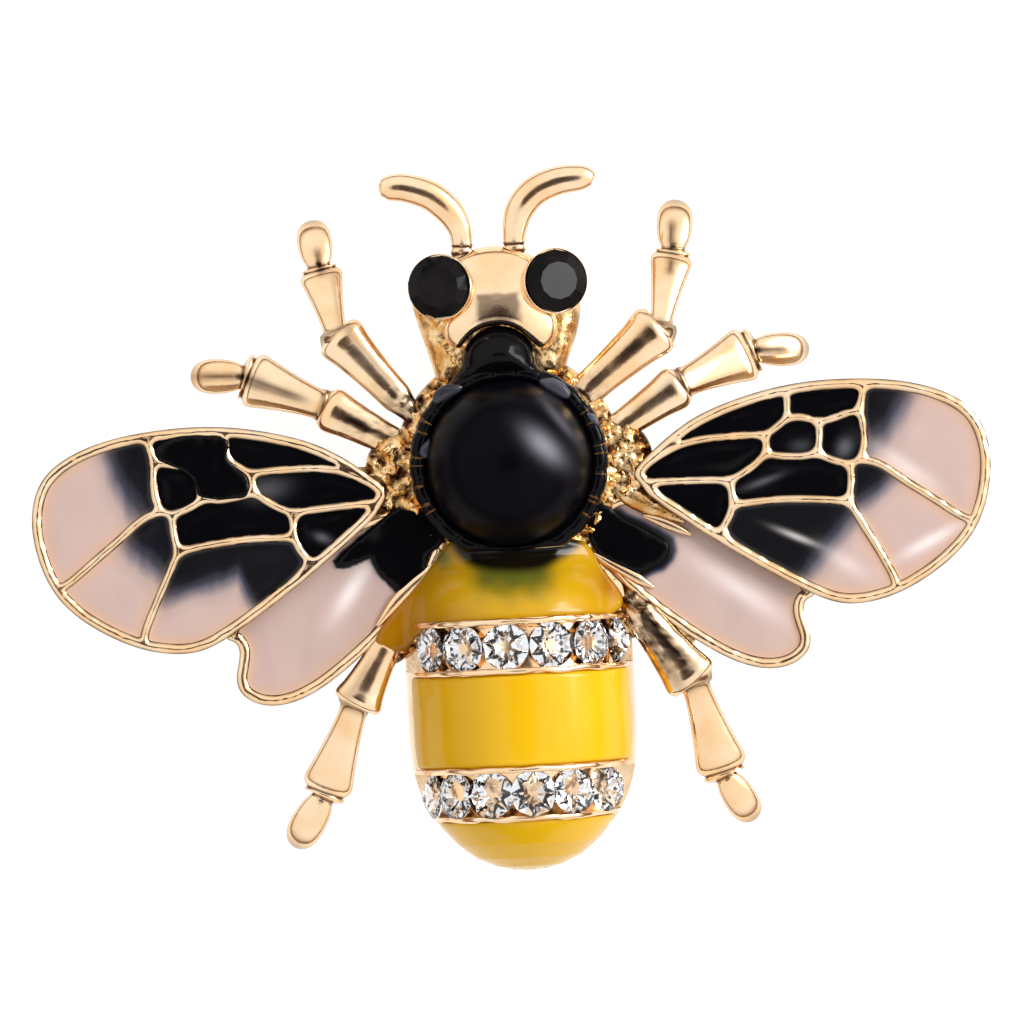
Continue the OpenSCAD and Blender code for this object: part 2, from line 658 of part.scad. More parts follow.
// The collar: a lobed ring around the pearl, with a ledge towards the abdomen
module collar_enamel() {
    low = cup_top + set_gap;
    color(black) translate([0, body_y, low]) difference() {
        union() {
            linear_extrude(collar_h) polygon([
                for (i = [0:lobes * 6 - 1]) let (t = 360 * i / (lobes * 6))
                    (collar_r + lobe_depth * cos(lobes * t)) * [cos(t), sin(t)]
            ]);
            intersection() {
                cylinder(r = ledge_reach, h = ledge_h, $fn = 96);
                translate([-ledge_reach, -2 * ledge_reach, 0])
                    cube([2 * ledge_reach, 2 * ledge_reach - ledge_from, ledge_h]);
            }
        }
        translate([0, 0, -past]) cylinder(r = cup_r, h = collar_h + 2 * past, $fn = 96);
    }
}

module neck_enamel() {
    color(black) translate([0, body_y, 0]) difference() {
        neck_form(0);
        cylinder(r = collar_r + lobe_depth + set_gap, h = tall, $fn = 72);
    }
}

// A cut stone: table, crown, girdle and a pointed back
module cut_stone(d, crown, pavilion, facets) {
    table_r = 0.3 * d;
    girdle = 0.03 * d;
    rotate_extrude($fn = facets)
        polygon([[0, -pavilion], [d / 2, -girdle / 2], [d / 2, girdle / 2], [table_r, crown], [0, crown]]);
}
module eye(side) {
    color(black) translate([0, body_y, 0]) at_eye(side) cut_stone(eye_d, 0.17 * eye_d, eye_back, 12);
}
module band_stone(row, y_mid) {
    turn = row[0];
    across = half_width(y_mid) - stone_sink;
    up = height(y_mid) - stone_sink;
    color(clear_glass)
        translate([across * sin(turn), body_y - y_mid, back_z + up * cos(turn)])
        rotate([0, turn + row[1], 0]) cut_stone(stone_d, crown_h, pavilion_h, 8);
}
upper_mid = upper_from + channel_w / 2;
lower_mid = lower_from + channel_w / 2;

module shoulder_enamel() {
    color(yellow) translate([0, body_y, 0]) difference() {
        coat(waist_reach - coat_in, shoulder_to, coat_t, coat_low, set_gap);
        collar_space(2 * set_gap);
        for (side = ["right", "left"]) on_side(side)
            translate([0, 0, hind_z - set_gap]) linear_extrude(hind_t + 2 * set_gap)
                polygon(hind_line(-set_gap));
    }
}
module band_enamel() {
    color(yellow) translate([0, body_y, 0]) coat(band_from, band_to, coat_t, coat_low, set_gap);
}
module tail_enamel() {
    color(yellow) translate([0, body_y, 0]) coat(tail_from, tail_y + past, coat_t, tail_low, set_gap);
}

fore_top = fore_z + fore_t - enamel_low;
fore_floor = fore_z + fore_t - cell_depth + set_gap;
hind_top = hind_z + hind_t - enamel_low;
hind_floor = hind_z + hind_t - cell_depth + set_gap;
module fore_enamel(side, i) {
    color(search([cell_names[i]], dark_cells)[0] == [] ? rose : black)
        translate([0, body_y, 0]) on_side(side) fore_pool(i, fore_floor, fore_top, set_gap);
}
module hind_enamel(side, loop, tint) {
    color(tint) translate([0, body_y, 0]) on_side(side) hind_pool(loop, hind_floor, hind_top, set_gap);
}

// Height of the stem above the surface, and where its point starts and how long it is
stem_lift = 0.4;
point_from = 2.2;
point_l = 1.6;
point_r = 0.08;
// Distance of the hinge block and the catch from the bar's end and from its long sides
block_in = 0.4;
block_side = 0.3;
// The catch: how far its opening reaches past the stem's middle, and the room over the stem
catch_wall = 0.6;
catch_room = 0.45;
// Bar, hinge block, closed stem and open-sided catch in one piece
module pin_back() {
    bar_top = back_z - set_gap;
    bar_low = bar_top - bar_t;
    end_x = bar_l / 2;
    stem_r = stem_d / 2;
    stem_z = stem_r + stem_lift;
    stem_end = end_x - point_from;
    color(gold) translate([0, body_y - pin_drop, 0]) difference() {
        union() {
            translate([-end_x + bar_w / 2, -bar_w / 2, bar_low]) cube([bar_l - bar_w, bar_w, bar_t]);
            for (side = [-1, 1]) translate([side * (end_x - bar_w / 2), 0, bar_low])
                cylinder(d = bar_w, h = bar_t, $fn = 48);
            for (side = [-1, 1])
                translate([side * (end_x - block_l / 2 - block_in) - block_l / 2, -bar_w / 2 + block_side, 0])
                    cube([block_l, bar_w - 2 * block_side, bar_low + bar_t / 7]);
        }
        // The catch is open on one side, with room over the stem
        translate([end_x - block_l - past, -catch_wall, stem_z - stem_r - set_gap])
            cube([block_l + 2 * past, bar_w, stem_d + catch_room]);
    }
    color(gold) translate([0, body_y - pin_drop, stem_z]) rotate([0, 90, 0]) {
        translate([0, 0, -end_x + block_l]) cylinder(r = stem_r, h = stem_end + end_x - block_l, $fn = 32);
        translate([0, 0, stem_end]) cylinder(r1 = stem_r, r2 = point_r, h = point_l, $fn = 32);
    }
}

casting();
pin_back();
thorax_pearl();
collar_enamel();
neck_enamel();
eye(-1);  // eye_left
eye(1);  // eye_right
shoulder_enamel();
band_enamel();
tail_enamel();
for (i = [0:5]) {
    band_stone(upper_stones[i], upper_mid);
    band_stone(lower_stones[i], lower_mid);
}
for (side = ["right", "left"]) {
    for (i = [0:len(cell_names) - 1])
        fore_enamel(side, i);
    hind_enamel(side, hind_pane, rose);
    hind_enamel(side, hind_dark, black);
}
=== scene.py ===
import math

import bpy
import numpy as np
from mathutils import Matrix, Vector, noise
from mathutils.geometry import delaunay_2d_cdt
from mathutils.kdtree import KDTree


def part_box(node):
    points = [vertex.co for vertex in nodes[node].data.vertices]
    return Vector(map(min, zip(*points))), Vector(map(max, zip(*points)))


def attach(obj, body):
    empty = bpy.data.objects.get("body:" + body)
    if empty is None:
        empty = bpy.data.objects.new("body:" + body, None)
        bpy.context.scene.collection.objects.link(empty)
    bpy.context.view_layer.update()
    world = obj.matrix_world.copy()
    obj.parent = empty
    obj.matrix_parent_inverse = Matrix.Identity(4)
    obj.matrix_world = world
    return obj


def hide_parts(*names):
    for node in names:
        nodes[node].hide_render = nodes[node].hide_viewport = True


# Bee brooch, face up on a white table. Sizes are millimetres unless a comment says percent.
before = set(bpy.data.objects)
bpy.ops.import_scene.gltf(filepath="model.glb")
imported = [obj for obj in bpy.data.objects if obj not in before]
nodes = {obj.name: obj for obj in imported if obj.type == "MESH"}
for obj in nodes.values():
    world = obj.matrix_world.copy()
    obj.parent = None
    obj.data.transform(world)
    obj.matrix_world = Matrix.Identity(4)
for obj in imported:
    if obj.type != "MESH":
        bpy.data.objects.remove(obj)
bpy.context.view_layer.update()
scene = bpy.context.scene
mm = 0.001
sides = {"right": 1, "left": -1}

pearlLow, pearlHigh = [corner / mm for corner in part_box("thorax_pearl")]
pearl = {
    "radius": (pearlHigh.x - pearlLow.x) / 2,
    "y": (pearlLow.y + pearlHigh.y) / 2,  # the middle of the bee; outlines and paths are counted from it
    "z": pearlHigh.z - (pearlHigh.x - pearlLow.x) / 2,
    "foot": pearlLow.z,
}
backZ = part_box("pin_back")[1].z / mm + 0.04  # the casting's flat back
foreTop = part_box("fore_right_h")[1].z / mm + 0.06  # tops of the wings' metal, a little over their enamel
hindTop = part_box("hind_right_pane")[1].z / mm + 0.06


# Camera straight above the brooch, which lies turned a little anticlockwise in the picture
overhead = {"aimX": 0.022, "aimY": 0.41, "aimZ": 5.5, "away": 420, "wide": 51.2, "turn": -3, "sensor": 36}


def makeCamera(c):
    data = bpy.data.cameras.new("overheadCamera")
    data.sensor_width = c["sensor"]
    data.lens = c["away"] * c["sensor"] / c["wide"]
    data.clip_start = 0.01
    data.clip_end = 20
    camera = bpy.data.objects.new("overheadCamera", data)
    camera.location = Vector((c["aimX"], c["aimY"], c["aimZ"] + c["away"])) * mm
    camera.rotation_euler = (0, 0, math.radians(c["turn"]))
    scene.collection.objects.link(camera)
    scene.camera = camera


makeCamera(overhead)
scene.view_settings.view_transform = "Standard"
print("camera set")


def newMaterial(name):
    material = bpy.data.materials.new(name)
    material.use_nodes = True
    tree = material.node_tree
    return material, tree, tree.nodes["Principled BSDF"]


def addNode(tree, kind, **settings):
    node = tree.nodes.new(kind)
    for key, value in settings.items():
        if key in node.inputs:
            node.inputs[key].default_value = value
        else:
            setattr(node, key, value)
    return node


def placeNoise(tree, scale, detail=2.0, distortion=0.0, stretch=(1, 1, 1)):
    coords = addNode(tree, "ShaderNodeTexCoord")
    mapping = addNode(tree, "ShaderNodeMapping")
    mapping.inputs["Scale"].default_value = stretch
    grain = addNode(tree, "ShaderNodeTexNoise", Scale=scale, Detail=detail, Distortion=distortion)
    tree.links.new(coords.outputs["Object"], mapping.inputs["Vector"])
    tree.links.new(mapping.outputs["Vector"], grain.inputs["Vector"])
    return grain.outputs["Fac"]


def ramp(tree, factor, stops):
    node = addNode(tree, "ShaderNodeValToRGB")
    elements = node.color_ramp.elements
    while len(elements) > 1:
        elements.remove(elements[-1])
    for i, (at, colour) in enumerate(stops):
        e = elements[0] if i == 0 else elements.new(at)
        e.position = at
        e.color = (*colour, 1) if len(colour) == 3 else colour
    tree.links.new(factor, node.inputs["Fac"])
    return node.outputs["Color"]


def bumpFrom(tree, shader, height, strength, distance):
    bump = addNode(tree, "ShaderNodeBump", Strength=strength, Distance=distance)
    tree.links.new(height, bump.inputs["Height"])
    tree.links.new(bump.outputs["Normal"], shader.inputs["Normal"])


def layerOver(tree, colour, attribute, shade):
    # A second colour over the first, by the share that each vertex holds
    share = addNode(tree, "ShaderNodeAttribute", attribute_name=attribute)
    layer = addNode(tree, "ShaderNodeMix", data_type="RGBA")
    layer.inputs[7].default_value = (*shade, 1)
    tree.links.new(share.outputs["Fac"], layer.inputs[0])
    tree.links.new(colour, layer.inputs[6])
    return layer.outputs[2]


def cloudyFinish(name, settings, scale, detail, stops, layers=(), skin=None):
    # A colour that clouds between two shades, with others laid over it;
    # skin is the scale, detail, strength and depth of a fine relief
    material, tree, shader = newMaterial(name)
    for key, value in settings.items():
        shader.inputs[key].default_value = value
    colour = ramp(tree, placeNoise(tree, scale, detail), stops)
    for attribute, shade in layers:
        colour = layerOver(tree, colour, attribute, shade)
    tree.links.new(colour, shader.inputs["Base Color"])
    if skin:
        bumpFrom(tree, shader, placeNoise(tree, skin[0], skin[1]), skin[2], skin[3])
    return material, tree, shader, colour


def goldFinish(name, light, deep, rough, grain, relief, patch=420):
    # Plated metal: colour and gloss wander a little, with a fine skin from casting.
    # Each vertex may hold how brown it is, in a groove or beside the enamel;
    # on edges, walls and lower sides that brown is a painted dark reflection.
    brownAndReflections = [("brown", (0.05, 0.015, 0.005))]
    stops = [(0.35, deep), (0.62, light)]
    material, tree, shader, _ = cloudyFinish(name, {"Metallic": 1}, patch, 3, stops, brownAndReflections)
    low, high = rough
    gloss = ramp(tree, placeNoise(tree, 900, 4), [(0.3, (low,) * 3), (0.7, (high,) * 3)])
    tree.links.new(gloss, shader.inputs["Roughness"])
    bumpFrom(tree, shader, placeNoise(tree, grain, 4, 0.4), relief, 0.00006)
    return material


gold = goldFinish("roseGoldPlate", (1.0, 0.755, 0.50), (0.97, 0.63, 0.34), (0.10, 0.22), 2600, 0.12)
goldRough = goldFinish("crinkledGold", (1.0, 0.71, 0.37), (0.74, 0.36, 0.09), (0.14, 0.30), 2600, 0.8, 1300)
goldBack = goldFinish("satinGoldBack", (0.86, 0.64, 0.40), (0.76, 0.53, 0.30), (0.30, 0.45), 4200, 0.4)


def enamelFinish(name, colour, deep, rough, shine, layers=()):
    # Poured resin: a clear gloss over a colour that clouds a little
    settings = {"Roughness": rough, "Specular IOR Level": shine}
    stops = [(0.35, deep), (0.65, colour)]
    return cloudyFinish(name, settings, 260, 3, stops, layers, (700, 1, 0.12, 0.00004))


# Painted highlights: soft light patches laid into the colour where the resin bulges
blackEnamel = enamelFinish("blackEnamel", (0.0022, 0.002, 0.003), (0.0015, 0.0014, 0.002), 0.12, 0.12,
                           [("paintedHighlight", (0.30, 0.30, 0.34))])[0]
# Grey resin for the painted reflections on the collar
reflectionResin = enamelFinish("reflectionResin", (0.10, 0.10, 0.13), (0.02, 0.02, 0.03), 0.16, 0.3)[0]
# Amber where the yellow runs thin, and amber painted shade on its left side;
# a painted green reflection of the pearl, and painted dark shade under the pearl's ledge
yellowEnamel = enamelFinish("yellowEnamel", (0.75, 0.435, 0.006), (0.70, 0.395, 0.005), 0.15, 0.26, [
    ("amberAndShade", (0.46, 0.18, 0.002)), ("pearlReflection", (0.045, 0.10, 0.018)), ("ledgeShade", (0.006, 0.004, 0.002)),
])[0]


def roseFinish():
    # Pearly rose that clouds through blue-grey to black; each vertex holds how far it has faded
    light, deep = (0.53, 0.395, 0.36), (0.475, 0.35, 0.32)
    material, tree, shader, tint = enamelFinish("roseEnamel", light, deep, 0.22, 0.35)
    fade = addNode(tree, "ShaderNodeAttribute", attribute_name="fade")
    shift = addNode(tree, "ShaderNodeMath", operation="MULTIPLY_ADD")
    shift.inputs[1].default_value = 0.36
    shift.inputs[2].default_value = -0.18
    total = addNode(tree, "ShaderNodeMath", operation="ADD")
    tree.links.new(placeNoise(tree, 330, 4, 0.8, (1.5, 0.6, 1)), shift.inputs[0])
    tree.links.new(shift.outputs[0], total.inputs[0])
    tree.links.new(fade.outputs["Fac"], total.inputs[1])
    shade = ramp(tree, total.outputs[0], [
        (0.0, (0.004, 0.004, 0.006)), (0.18, (0.007, 0.008, 0.013)), (0.38, (0.05, 0.055, 0.08)),
        (0.58, (0.22, 0.20, 0.23)), (0.78, (0.52, 0.41, 0.38)), (1.0, (0.62, 0.48, 0.44)),
    ])
    mix = addNode(tree, "ShaderNodeMix", data_type="RGBA", blend_type="MULTIPLY")
    mix.inputs[0].default_value = 0.35
    tree.links.new(shade, mix.inputs[6])
    tree.links.new(tint, mix.inputs[7])
    peach = layerOver(tree, mix.outputs[2], "rim", (0.66, 0.36, 0.17))
    # Painted highlights laid over the rose
    paintedHighlight = layerOver(tree, peach, "paintedHighlight", (0.94, 0.86, 0.84))
    tree.links.new(paintedHighlight, shader.inputs["Base Color"])
    return material


roseEnamel = roseFinish()
# Black pearl, with painted highlights laid over its colour
blackPearl = cloudyFinish(
    "blackPearl", {"Roughness": 0.3, "IOR": 1.15, "Specular IOR Level": 0.45}, 180, 2,
    [(0.3, (0.0008, 0.0008, 0.0025)), (0.7, (0.002, 0.0015, 0.003))],
    [("paintedHighlight", (0.30, 0.29, 0.34))], (1500, 2, 0.03, 0.00003),
)[0]


def jetFinish(name, shine):
    settings = {"Roughness": 0.1, "Specular IOR Level": shine}
    stops = [(0.3, (0.004, 0.004, 0.004)), (0.7, (0.012, 0.010, 0.010))]
    return cloudyFinish(name, settings, 600, 2, stops, (), (3000, 2, 0.04, 0.00002))[0]


jetGlass = jetFinish("jetGlass", 0.05)
jetTable = jetFinish("jetTable", 0.9)
clearGlass = cloudyFinish(
    "clearGlass", {"Transmission Weight": 1, "IOR": 1.6, "Roughness": 0}, 700, 1,
    [(0.2, (0.95, 0.96, 0.98)), (0.8, (1, 1, 1))], (), (4000, 1, 0.02, 0.00002),
)[0]
silverFoil = cloudyFinish(
    "silverFoil", {"Metallic": 1, "Roughness": 0.06}, 1200, 2,
    [(0.3, (0.88, 0.89, 0.92)), (0.7, (1, 1, 1))],
)[0]
print("finishes made")


# Meshes are built in millimetres and stored in metres
def makePiece(name, points, faces, materials, slot, replaced, sharp, attributes=None, faceMaterial=None):
    # Smooth faces with edges over the angle sharp kept crisp; at nought every face is flat
    mesh = bpy.data.meshes.new(name)
    mesh.from_pydata([tuple(c * mm for c in p) for p in points], [], faces)
    for material in materials:
        mesh.materials.append(material)
    if faceMaterial is not None:
        mesh.polygons.foreach_set("material_index", faceMaterial)
    mesh.polygons.foreach_set("use_smooth", [sharp > 0] * len(mesh.polygons))
    for key, values in (attributes or {}).items():
        mesh.attributes.new(key, "FLOAT", "POINT").data.foreach_set("value", values)
    mesh.validate()
    mesh.update()
    if sharp:
        keepCrisp(mesh, math.cos(math.radians(sharp)))
    piece = bpy.data.objects.new(name, mesh)
    scene.collection.objects.link(piece)
    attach(piece, "root")
    if replaced:
        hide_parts(*replaced)
    return piece


def keepCrisp(mesh, limit):
    normals = {}
    for polygon in mesh.polygons:
        for key in polygon.edge_keys:
            normals.setdefault(key, []).append(polygon.normal)
    for edge in mesh.edges:
        pair = normals.get(edge.key, [])
        edge.use_edge_sharp = len(pair) == 2 and pair[0].dot(pair[1]) < limit


def ripple(p, scale, layer):
    # Smooth noise over the plan, a different pattern on each layer
    return noise.noise(Vector((p[0] * scale, p[1] * scale, layer)))


def smoothStep(t):
    t = min(1, max(0, t))
    return t * t * (3 - 2 * t)


def rounded(distance, radius):
    # How far a rounded edge has dropped at a distance from it
    t = np.clip(1 - distance / radius, 0, 1)
    return radius * (1 - np.sqrt(np.maximum(0, 1 - t * t)))


def cutCorners(loop):
    points = np.array(loop, float)
    for _ in range(2):
        after = np.roll(points, -1, axis=0)
        points = np.stack([0.75 * points + 0.25 * after, 0.25 * points + 0.75 * after], 1).reshape(-1, 2)
    return points


def resample(loop, step):
    points = np.array(loop, float)
    closed = np.vstack([points, points[:1]])
    lengths = np.linalg.norm(np.diff(closed, axis=0), axis=1)
    along = np.concatenate([[0], np.cumsum(lengths)])
    count = max(8, int(round(along[-1] / step)))
    at = np.linspace(0, along[-1], count, endpoint=False)
    return np.stack([np.interp(at, along, closed[:, k]) for k in (0, 1)], 1)


def anticlockwise(loop):
    return loop if loopArea(loop) > 0 else loop[::-1]


def loopArea(loop):
    points = np.array(loop)
    after = np.roll(points, -1, axis=0)
    return 0.5 * float(np.sum(points[:, 0] * after[:, 1] - points[:, 1] * after[:, 0]))


def inwardNormals(loop):
    points = np.array(loop)
    along = np.roll(points, -1, axis=0) - np.roll(points, 1, axis=0)
    along /= np.maximum(np.linalg.norm(along, axis=1, keepdims=True), 1e-9)
    turn = 1 if loopArea(points) > 0 else -1
    return np.stack([-along[:, 1], along[:, 0]], 1) * turn


def insideLoop(points, loop):
    # Even-odd test of many points at once
    points, loop = np.array(points), np.array(loop)
    inside = np.zeros(len(points), bool)
    after = np.roll(loop, -1, axis=0)
    for (x1, y1), (x2, y2) in zip(loop, after):
        crosses = (y1 > points[:, 1]) != (y2 > points[:, 1])
        if y1 != y2:
            inside ^= crosses & (points[:, 0] < (x2 - x1) * (points[:, 1] - y1) / (y2 - y1) + x1)
    return inside


def insideRegion(points, loops):
    # Inside the first loop and outside the others
    inside = insideLoop(points, loops[0])
    for hole in loops[1:]:
        inside &= ~insideLoop(points, hole)
    return inside


def treeOf(loops):
    samples = np.vstack([resample(loop, 0.03) for loop in loops])
    tree = KDTree(len(samples))
    for i, p in enumerate(samples):
        tree.insert((p[0], p[1], 0), i)
    tree.balance()
    return tree


def distances(tree, points):
    return np.array([tree.find((p[0], p[1], 0))[2] for p in points])


def fillSheet(outer, holes, step, rings, gridStep, gap=0.7):
    # Triangles over a region with holes, with rows of points that follow its edges.
    # Gives the points, the triangles, each point's distance to the edge and the loops' point numbers.
    loops = [resample(outer, step)] + [resample(hole, step) for hole in holes]
    tree = treeOf([outer] + list(holes))
    points = [tuple(p) for loop in loops for p in loop]
    edges, numbers, start = [], [], 0
    for loop in loops:
        numbers.append(list(range(start, start + len(loop))))
        edges += [(start + i, start + (i + 1) % len(loop)) for i in range(len(loop))]
        start += len(loop)
    found, taken = [], {}
    apart = step * gap

    def free(p):
        column, row = math.floor(p[0] / apart), math.floor(p[1] / apart)
        for i in (-1, 0, 1):
            for j in (-1, 0, 1):
                for q in taken.get((column + i, row + j), ()):
                    if (p[0] - q[0]) ** 2 + (p[1] - q[1]) ** 2 < apart * apart:
                        return False
        taken.setdefault((column, row), []).append(p)
        return True

    for ring in rings:
        for k, loop in enumerate(loops):
            normals = inwardNormals(loop) * (1 if k == 0 else -1)
            for p in loop + normals * ring:
                if free(p) and tree.find((p[0], p[1], 0))[2] > ring * 0.93:
                    found.append(p)
    low, high = np.min(loops[0], 0), np.max(loops[0], 0)
    rows = np.arange(low[1], high[1], gridStep * 0.87)
    grid = [
        (x, y) for k, y in enumerate(rows)
        for x in np.arange(low[0] + (k % 2) * gridStep / 2, high[0], gridStep)
    ]
    reach = rings[-1] + gridStep * 0.6
    found += [p for p in grid if tree.find((p[0], p[1], 0))[2] > reach]
    found = np.array(found, float).reshape(-1, 2)
    points += [tuple(p) for p in found[insideRegion(found, loops)]]
    result = delaunay_2d_cdt([Vector(p) for p in points], edges, [], 0, 1e-7)
    newPoints = np.array([tuple(v) for v in result[0]])
    order = {}
    for new, olds in enumerate(result[3]):
        for old in olds:
            order[old] = new
    triangles = [f for f in result[2] if len(f) == 3]
    centres = np.array([newPoints[list(f)].mean(0) for f in triangles])
    triangles = [tuple(f) for f, keep in zip(triangles, insideRegion(centres, loops)) if keep]
    edge = distances(tree, newPoints)
    numbers = [[order[i] for i in loop] for loop in numbers]
    for loop in numbers:
        edge[loop] = 0
    return newPoints, triangles, edge, numbers


def wallBetween(loopA, loopB, outward):
    # Quads between two rows of as many points; outward says which way they face
    quads = []
    for i in range(len(loopA)):
        j = (i + 1) % len(loopA)
        quad = (loopA[i], loopB[i], loopB[j], loopA[j])
        quads.append(quad if outward else quad[::-1])
    return quads


def gridFaces(rows, width, start=0, ring=True, looped=False):
    # Quads between rows of points; a ring joins each row's ends, looped the last row and the first
    faces = []
    for k in range(rows if looped else rows - 1):
        a, b = start + k * width, start + (k + 1) % rows * width
        for i in range(width if ring else width - 1):
            j = (i + 1) % width
            faces.append((a + i, a + j, b + j, b + i))
    return faces


def endCaps(rows, width, start=0):
    last = start + (rows - 1) * width
    return [tuple(range(start, start + width))[::-1], tuple(range(last, last + width))]


def sheetPiece(name, sheet, heights, low, materials, slot, replaced, sharp, attributes=None, shift=0.0):
    # A filled sheet with a height for each point, a wall along its edge and a flat underside.
    # An attribute is its values and the one at the wall's foot, or None for what the edge has.
    points, triangles, _, numbers = sheet
    ring = numbers[0]
    verts = [(p[0], p[1] + shift, z) for p, z in zip(points, heights)]
    lower = list(range(len(verts), len(verts) + len(ring)))
    verts += [(points[i][0], points[i][1] + shift, low) for i in ring]
    outward = loopArea(points[ring]) > 0
    faces = triangles + wallBetween(ring, lower, outward) + [tuple(lower[::-1] if outward else lower)]
    full = {}
    for key, (values, foot) in (attributes or {}).items():
        full[key] = [*values, *(values[i] if foot is None else foot for i in ring)]
    makePiece(name, verts, faces, materials, slot, replaced, sharp, full)


def castingLoops(level, keep):
    # Loops around the casting's flat faces at one height, largest first
    mesh = nodes["casting"].data
    spots, index = {}, []
    for v in mesh.vertices:
        key = tuple(round(c / mm, 3) for c in v.co)
        index.append(spots.setdefault(key, len(spots)))
    keys = list(spots)
    uses = {}
    for polygon in mesh.polygons:
        corners = [index[v] for v in polygon.vertices]
        if all(abs(keys[c][2] - level) < 0.004 for c in corners) and polygon.normal.z > 0.9:
            if keep(keys[corners[0]]):
                for a, b in zip(corners, corners[1:] + corners[:1]):
                    uses[(a, b)] = uses.get((a, b), 0) + 1
    following = {a: b for (a, b) in uses if (b, a) not in uses}
    loops = []
    while following:
        start, at = next(iter(following.items()))
        loop = [start]
        del following[start]
        while at != start and at in following:
            loop.append(at)
            at = following.pop(at)
        if len(loop) > 5:
            loops.append(np.array([keys[i][:2] for i in loop]))
    return sorted(loops, key=lambda p: -abs(loopArea(p)))


# Forewings: one metal frame each, with rounded veins, and ten pools of enamel
forewing = {
    "thick": 1.5, "archOver": 0.32, "archDrop": 0.12, "floorBelow": 0.56, "rootX": 4.2, "wave": 0.05,
    "edgeReflectionWidth": 0.075,
    "left": {"ridge": 0.19, "grooveTo": 0.29, "grooveDeep": 0.05, "brown": 0.95, "crest": 1.7},
    "right": {"ridge": 0.30, "grooveTo": 0.42, "grooveDeep": 0.02, "brown": 0.3, "crest": 1.25},
}
cellNames = "abcdefghij"


def wingFrame(name, outer, holes, top, w, line):
    # Metal with rounded ridges beside every edge and a groove, brown at its floor, between them;
    # a painted dark reflection browns every edge and the walls
    rings = (0.05, 0.11, 0.17, 0.23, 0.29, 0.36)
    points, triangles, edge, numbers = fillSheet(outer, holes, 0.09, rings, 0.12, 0.5)
    grooved = np.clip((edge - line["ridge"]) / (line["grooveTo"] - line["ridge"]), 0, 1)
    wander = np.array([0.75 + 0.7 * ripple(p, 0.4, 7) for p in points])
    grooved = np.clip(grooved * wander, 0, 1) ** 1.5
    arch = (1 - np.clip(edge / w["archOver"], 0, 1)) ** line["crest"]
    heights = top - w["archDrop"] * arch - line["grooveDeep"] * grooved
    # Brown at the groove floors, and a painted dark reflection along every edge
    brown = np.clip(line["brown"] * grooved + 0.95 * np.exp(-(edge / w["edgeReflectionWidth"]) ** 2), 0, 1)
    for i, p in enumerate(points):
        if edge[i] > 0:
            heights[i] += w["wave"] * ripple(p, 1.6, 3)
            brown[i] *= 0.8 + 0.7 * ripple(p, 1.1, 11)
    verts = [(*p, z) for p, z in zip(points, heights)]
    brown = list(brown)
    faces = list(triangles)
    for k, loop in enumerate(numbers):
        bottomZ = top - (w["floorBelow"] if k else w["thick"])
        lower = list(range(len(verts), len(verts) + len(loop)))
        verts += [(*points[i], bottomZ) for i in loop]
        # Painted dark reflection on the walls
        brown += [0.6] * len(loop)
        outward = (loopArea(points[loop]) > 0) == (k == 0)
        faces += wallBetween(loop, lower, outward)
        faces.append(tuple(lower[::-1] if outward else lower))
    piece = makePiece(name, verts, faces, [gold, goldBack], "gold", ("casting",), 50, {"brown": brown})
    for polygon in piece.data.polygons:
        if polygon.normal.z < -0.8:
            polygon.material_index = 1


# Painted highlights on the wings' enamel: place from the pearl's middle, its way, half length, half width,
# strength
paintedHighlights = [
    (-8.2, -5.95, 0.58, 0.81, 1.5, 0.42, 0.75), (20.8, -5.0, 0.9, 0.43, 1.6, 0.3, 0.6),
    (11.2, -6.9, 0.8, -0.6, 2.4, 0.5, 0.45), (19.9, -1.3, 0.8, -0.6, 1.8, 0.4, 0.45),
    (16.6, -5.9, 0.8, -0.6, 1.2, 0.4, 0.3), (14.2, -4.45, 0.91, -0.42, 1.0, 0.14, 0.5),
    (12.6, -1.6, 0.95, 0.3, 0.9, 0.15, 0.25), (-12.2, -0.7, 1.0, 0.1, 1.0, 0.5, 0.2),
    (-9.5, -3.25, 0.9, -0.4, 0.4, 0.2, 0.3), (16.8, -0.1, 0.4, 0.9, 0.45, 0.35, 0.3),
    (14.6, 0.1, 1, 0, 0.5, 0.3, 0.12),
]


def softPatches(patches, x, y):
    y -= pearl["y"]
    total = 0.0
    for placeX, placeY, wayX, wayY, long, wide, strength in patches:
        along = (x - placeX) * wayX + (y - placeY) * wayY
        across = (y - placeY) * wayX - (x - placeX) * wayY
        total += strength * math.exp(-(along / long) ** 2 - (across / wide) ** 2)
    return min(1, total)


pool = {"gap": 0.012, "deep": 0.54, "below": 0.19, "creep": 0.05, "wave": 0.05}


def enamelPool(name, node, loop, top, slot, material, dome, seed, fade=None):
    # The resin creeps up the metal at its edge and lies lower, or domed, in the middle
    loop = loop + inwardNormals(loop) * pool["gap"]
    sheet = fillSheet(loop, [], 0.12, (0.09, 0.22, 0.4), 0.13)
    points, _, edge, _ = sheet
    heights = top - pool["below"] + pool["creep"] * np.exp(-edge / 0.1) + dome * (1 - np.exp(-edge / 0.6))
    heights += pool["wave"] * np.array([ripple(p, 0.55, seed) for p in points])
    # Painted highlights from the patches listed above
    attributes = {"paintedHighlight": ([softPatches(paintedHighlights, *p) for p in points], None)}
    if fade:
        shares = np.array([fade(*p) for p in points])
        attributes["fade"] = (shares, None)
        attributes["rim"] = (0.6 * np.exp(-edge / 0.3) * shares ** 2, 0.0)
    sheetPiece(name, sheet, heights, top - pool["deep"], [material], slot, (node,), 60, attributes)


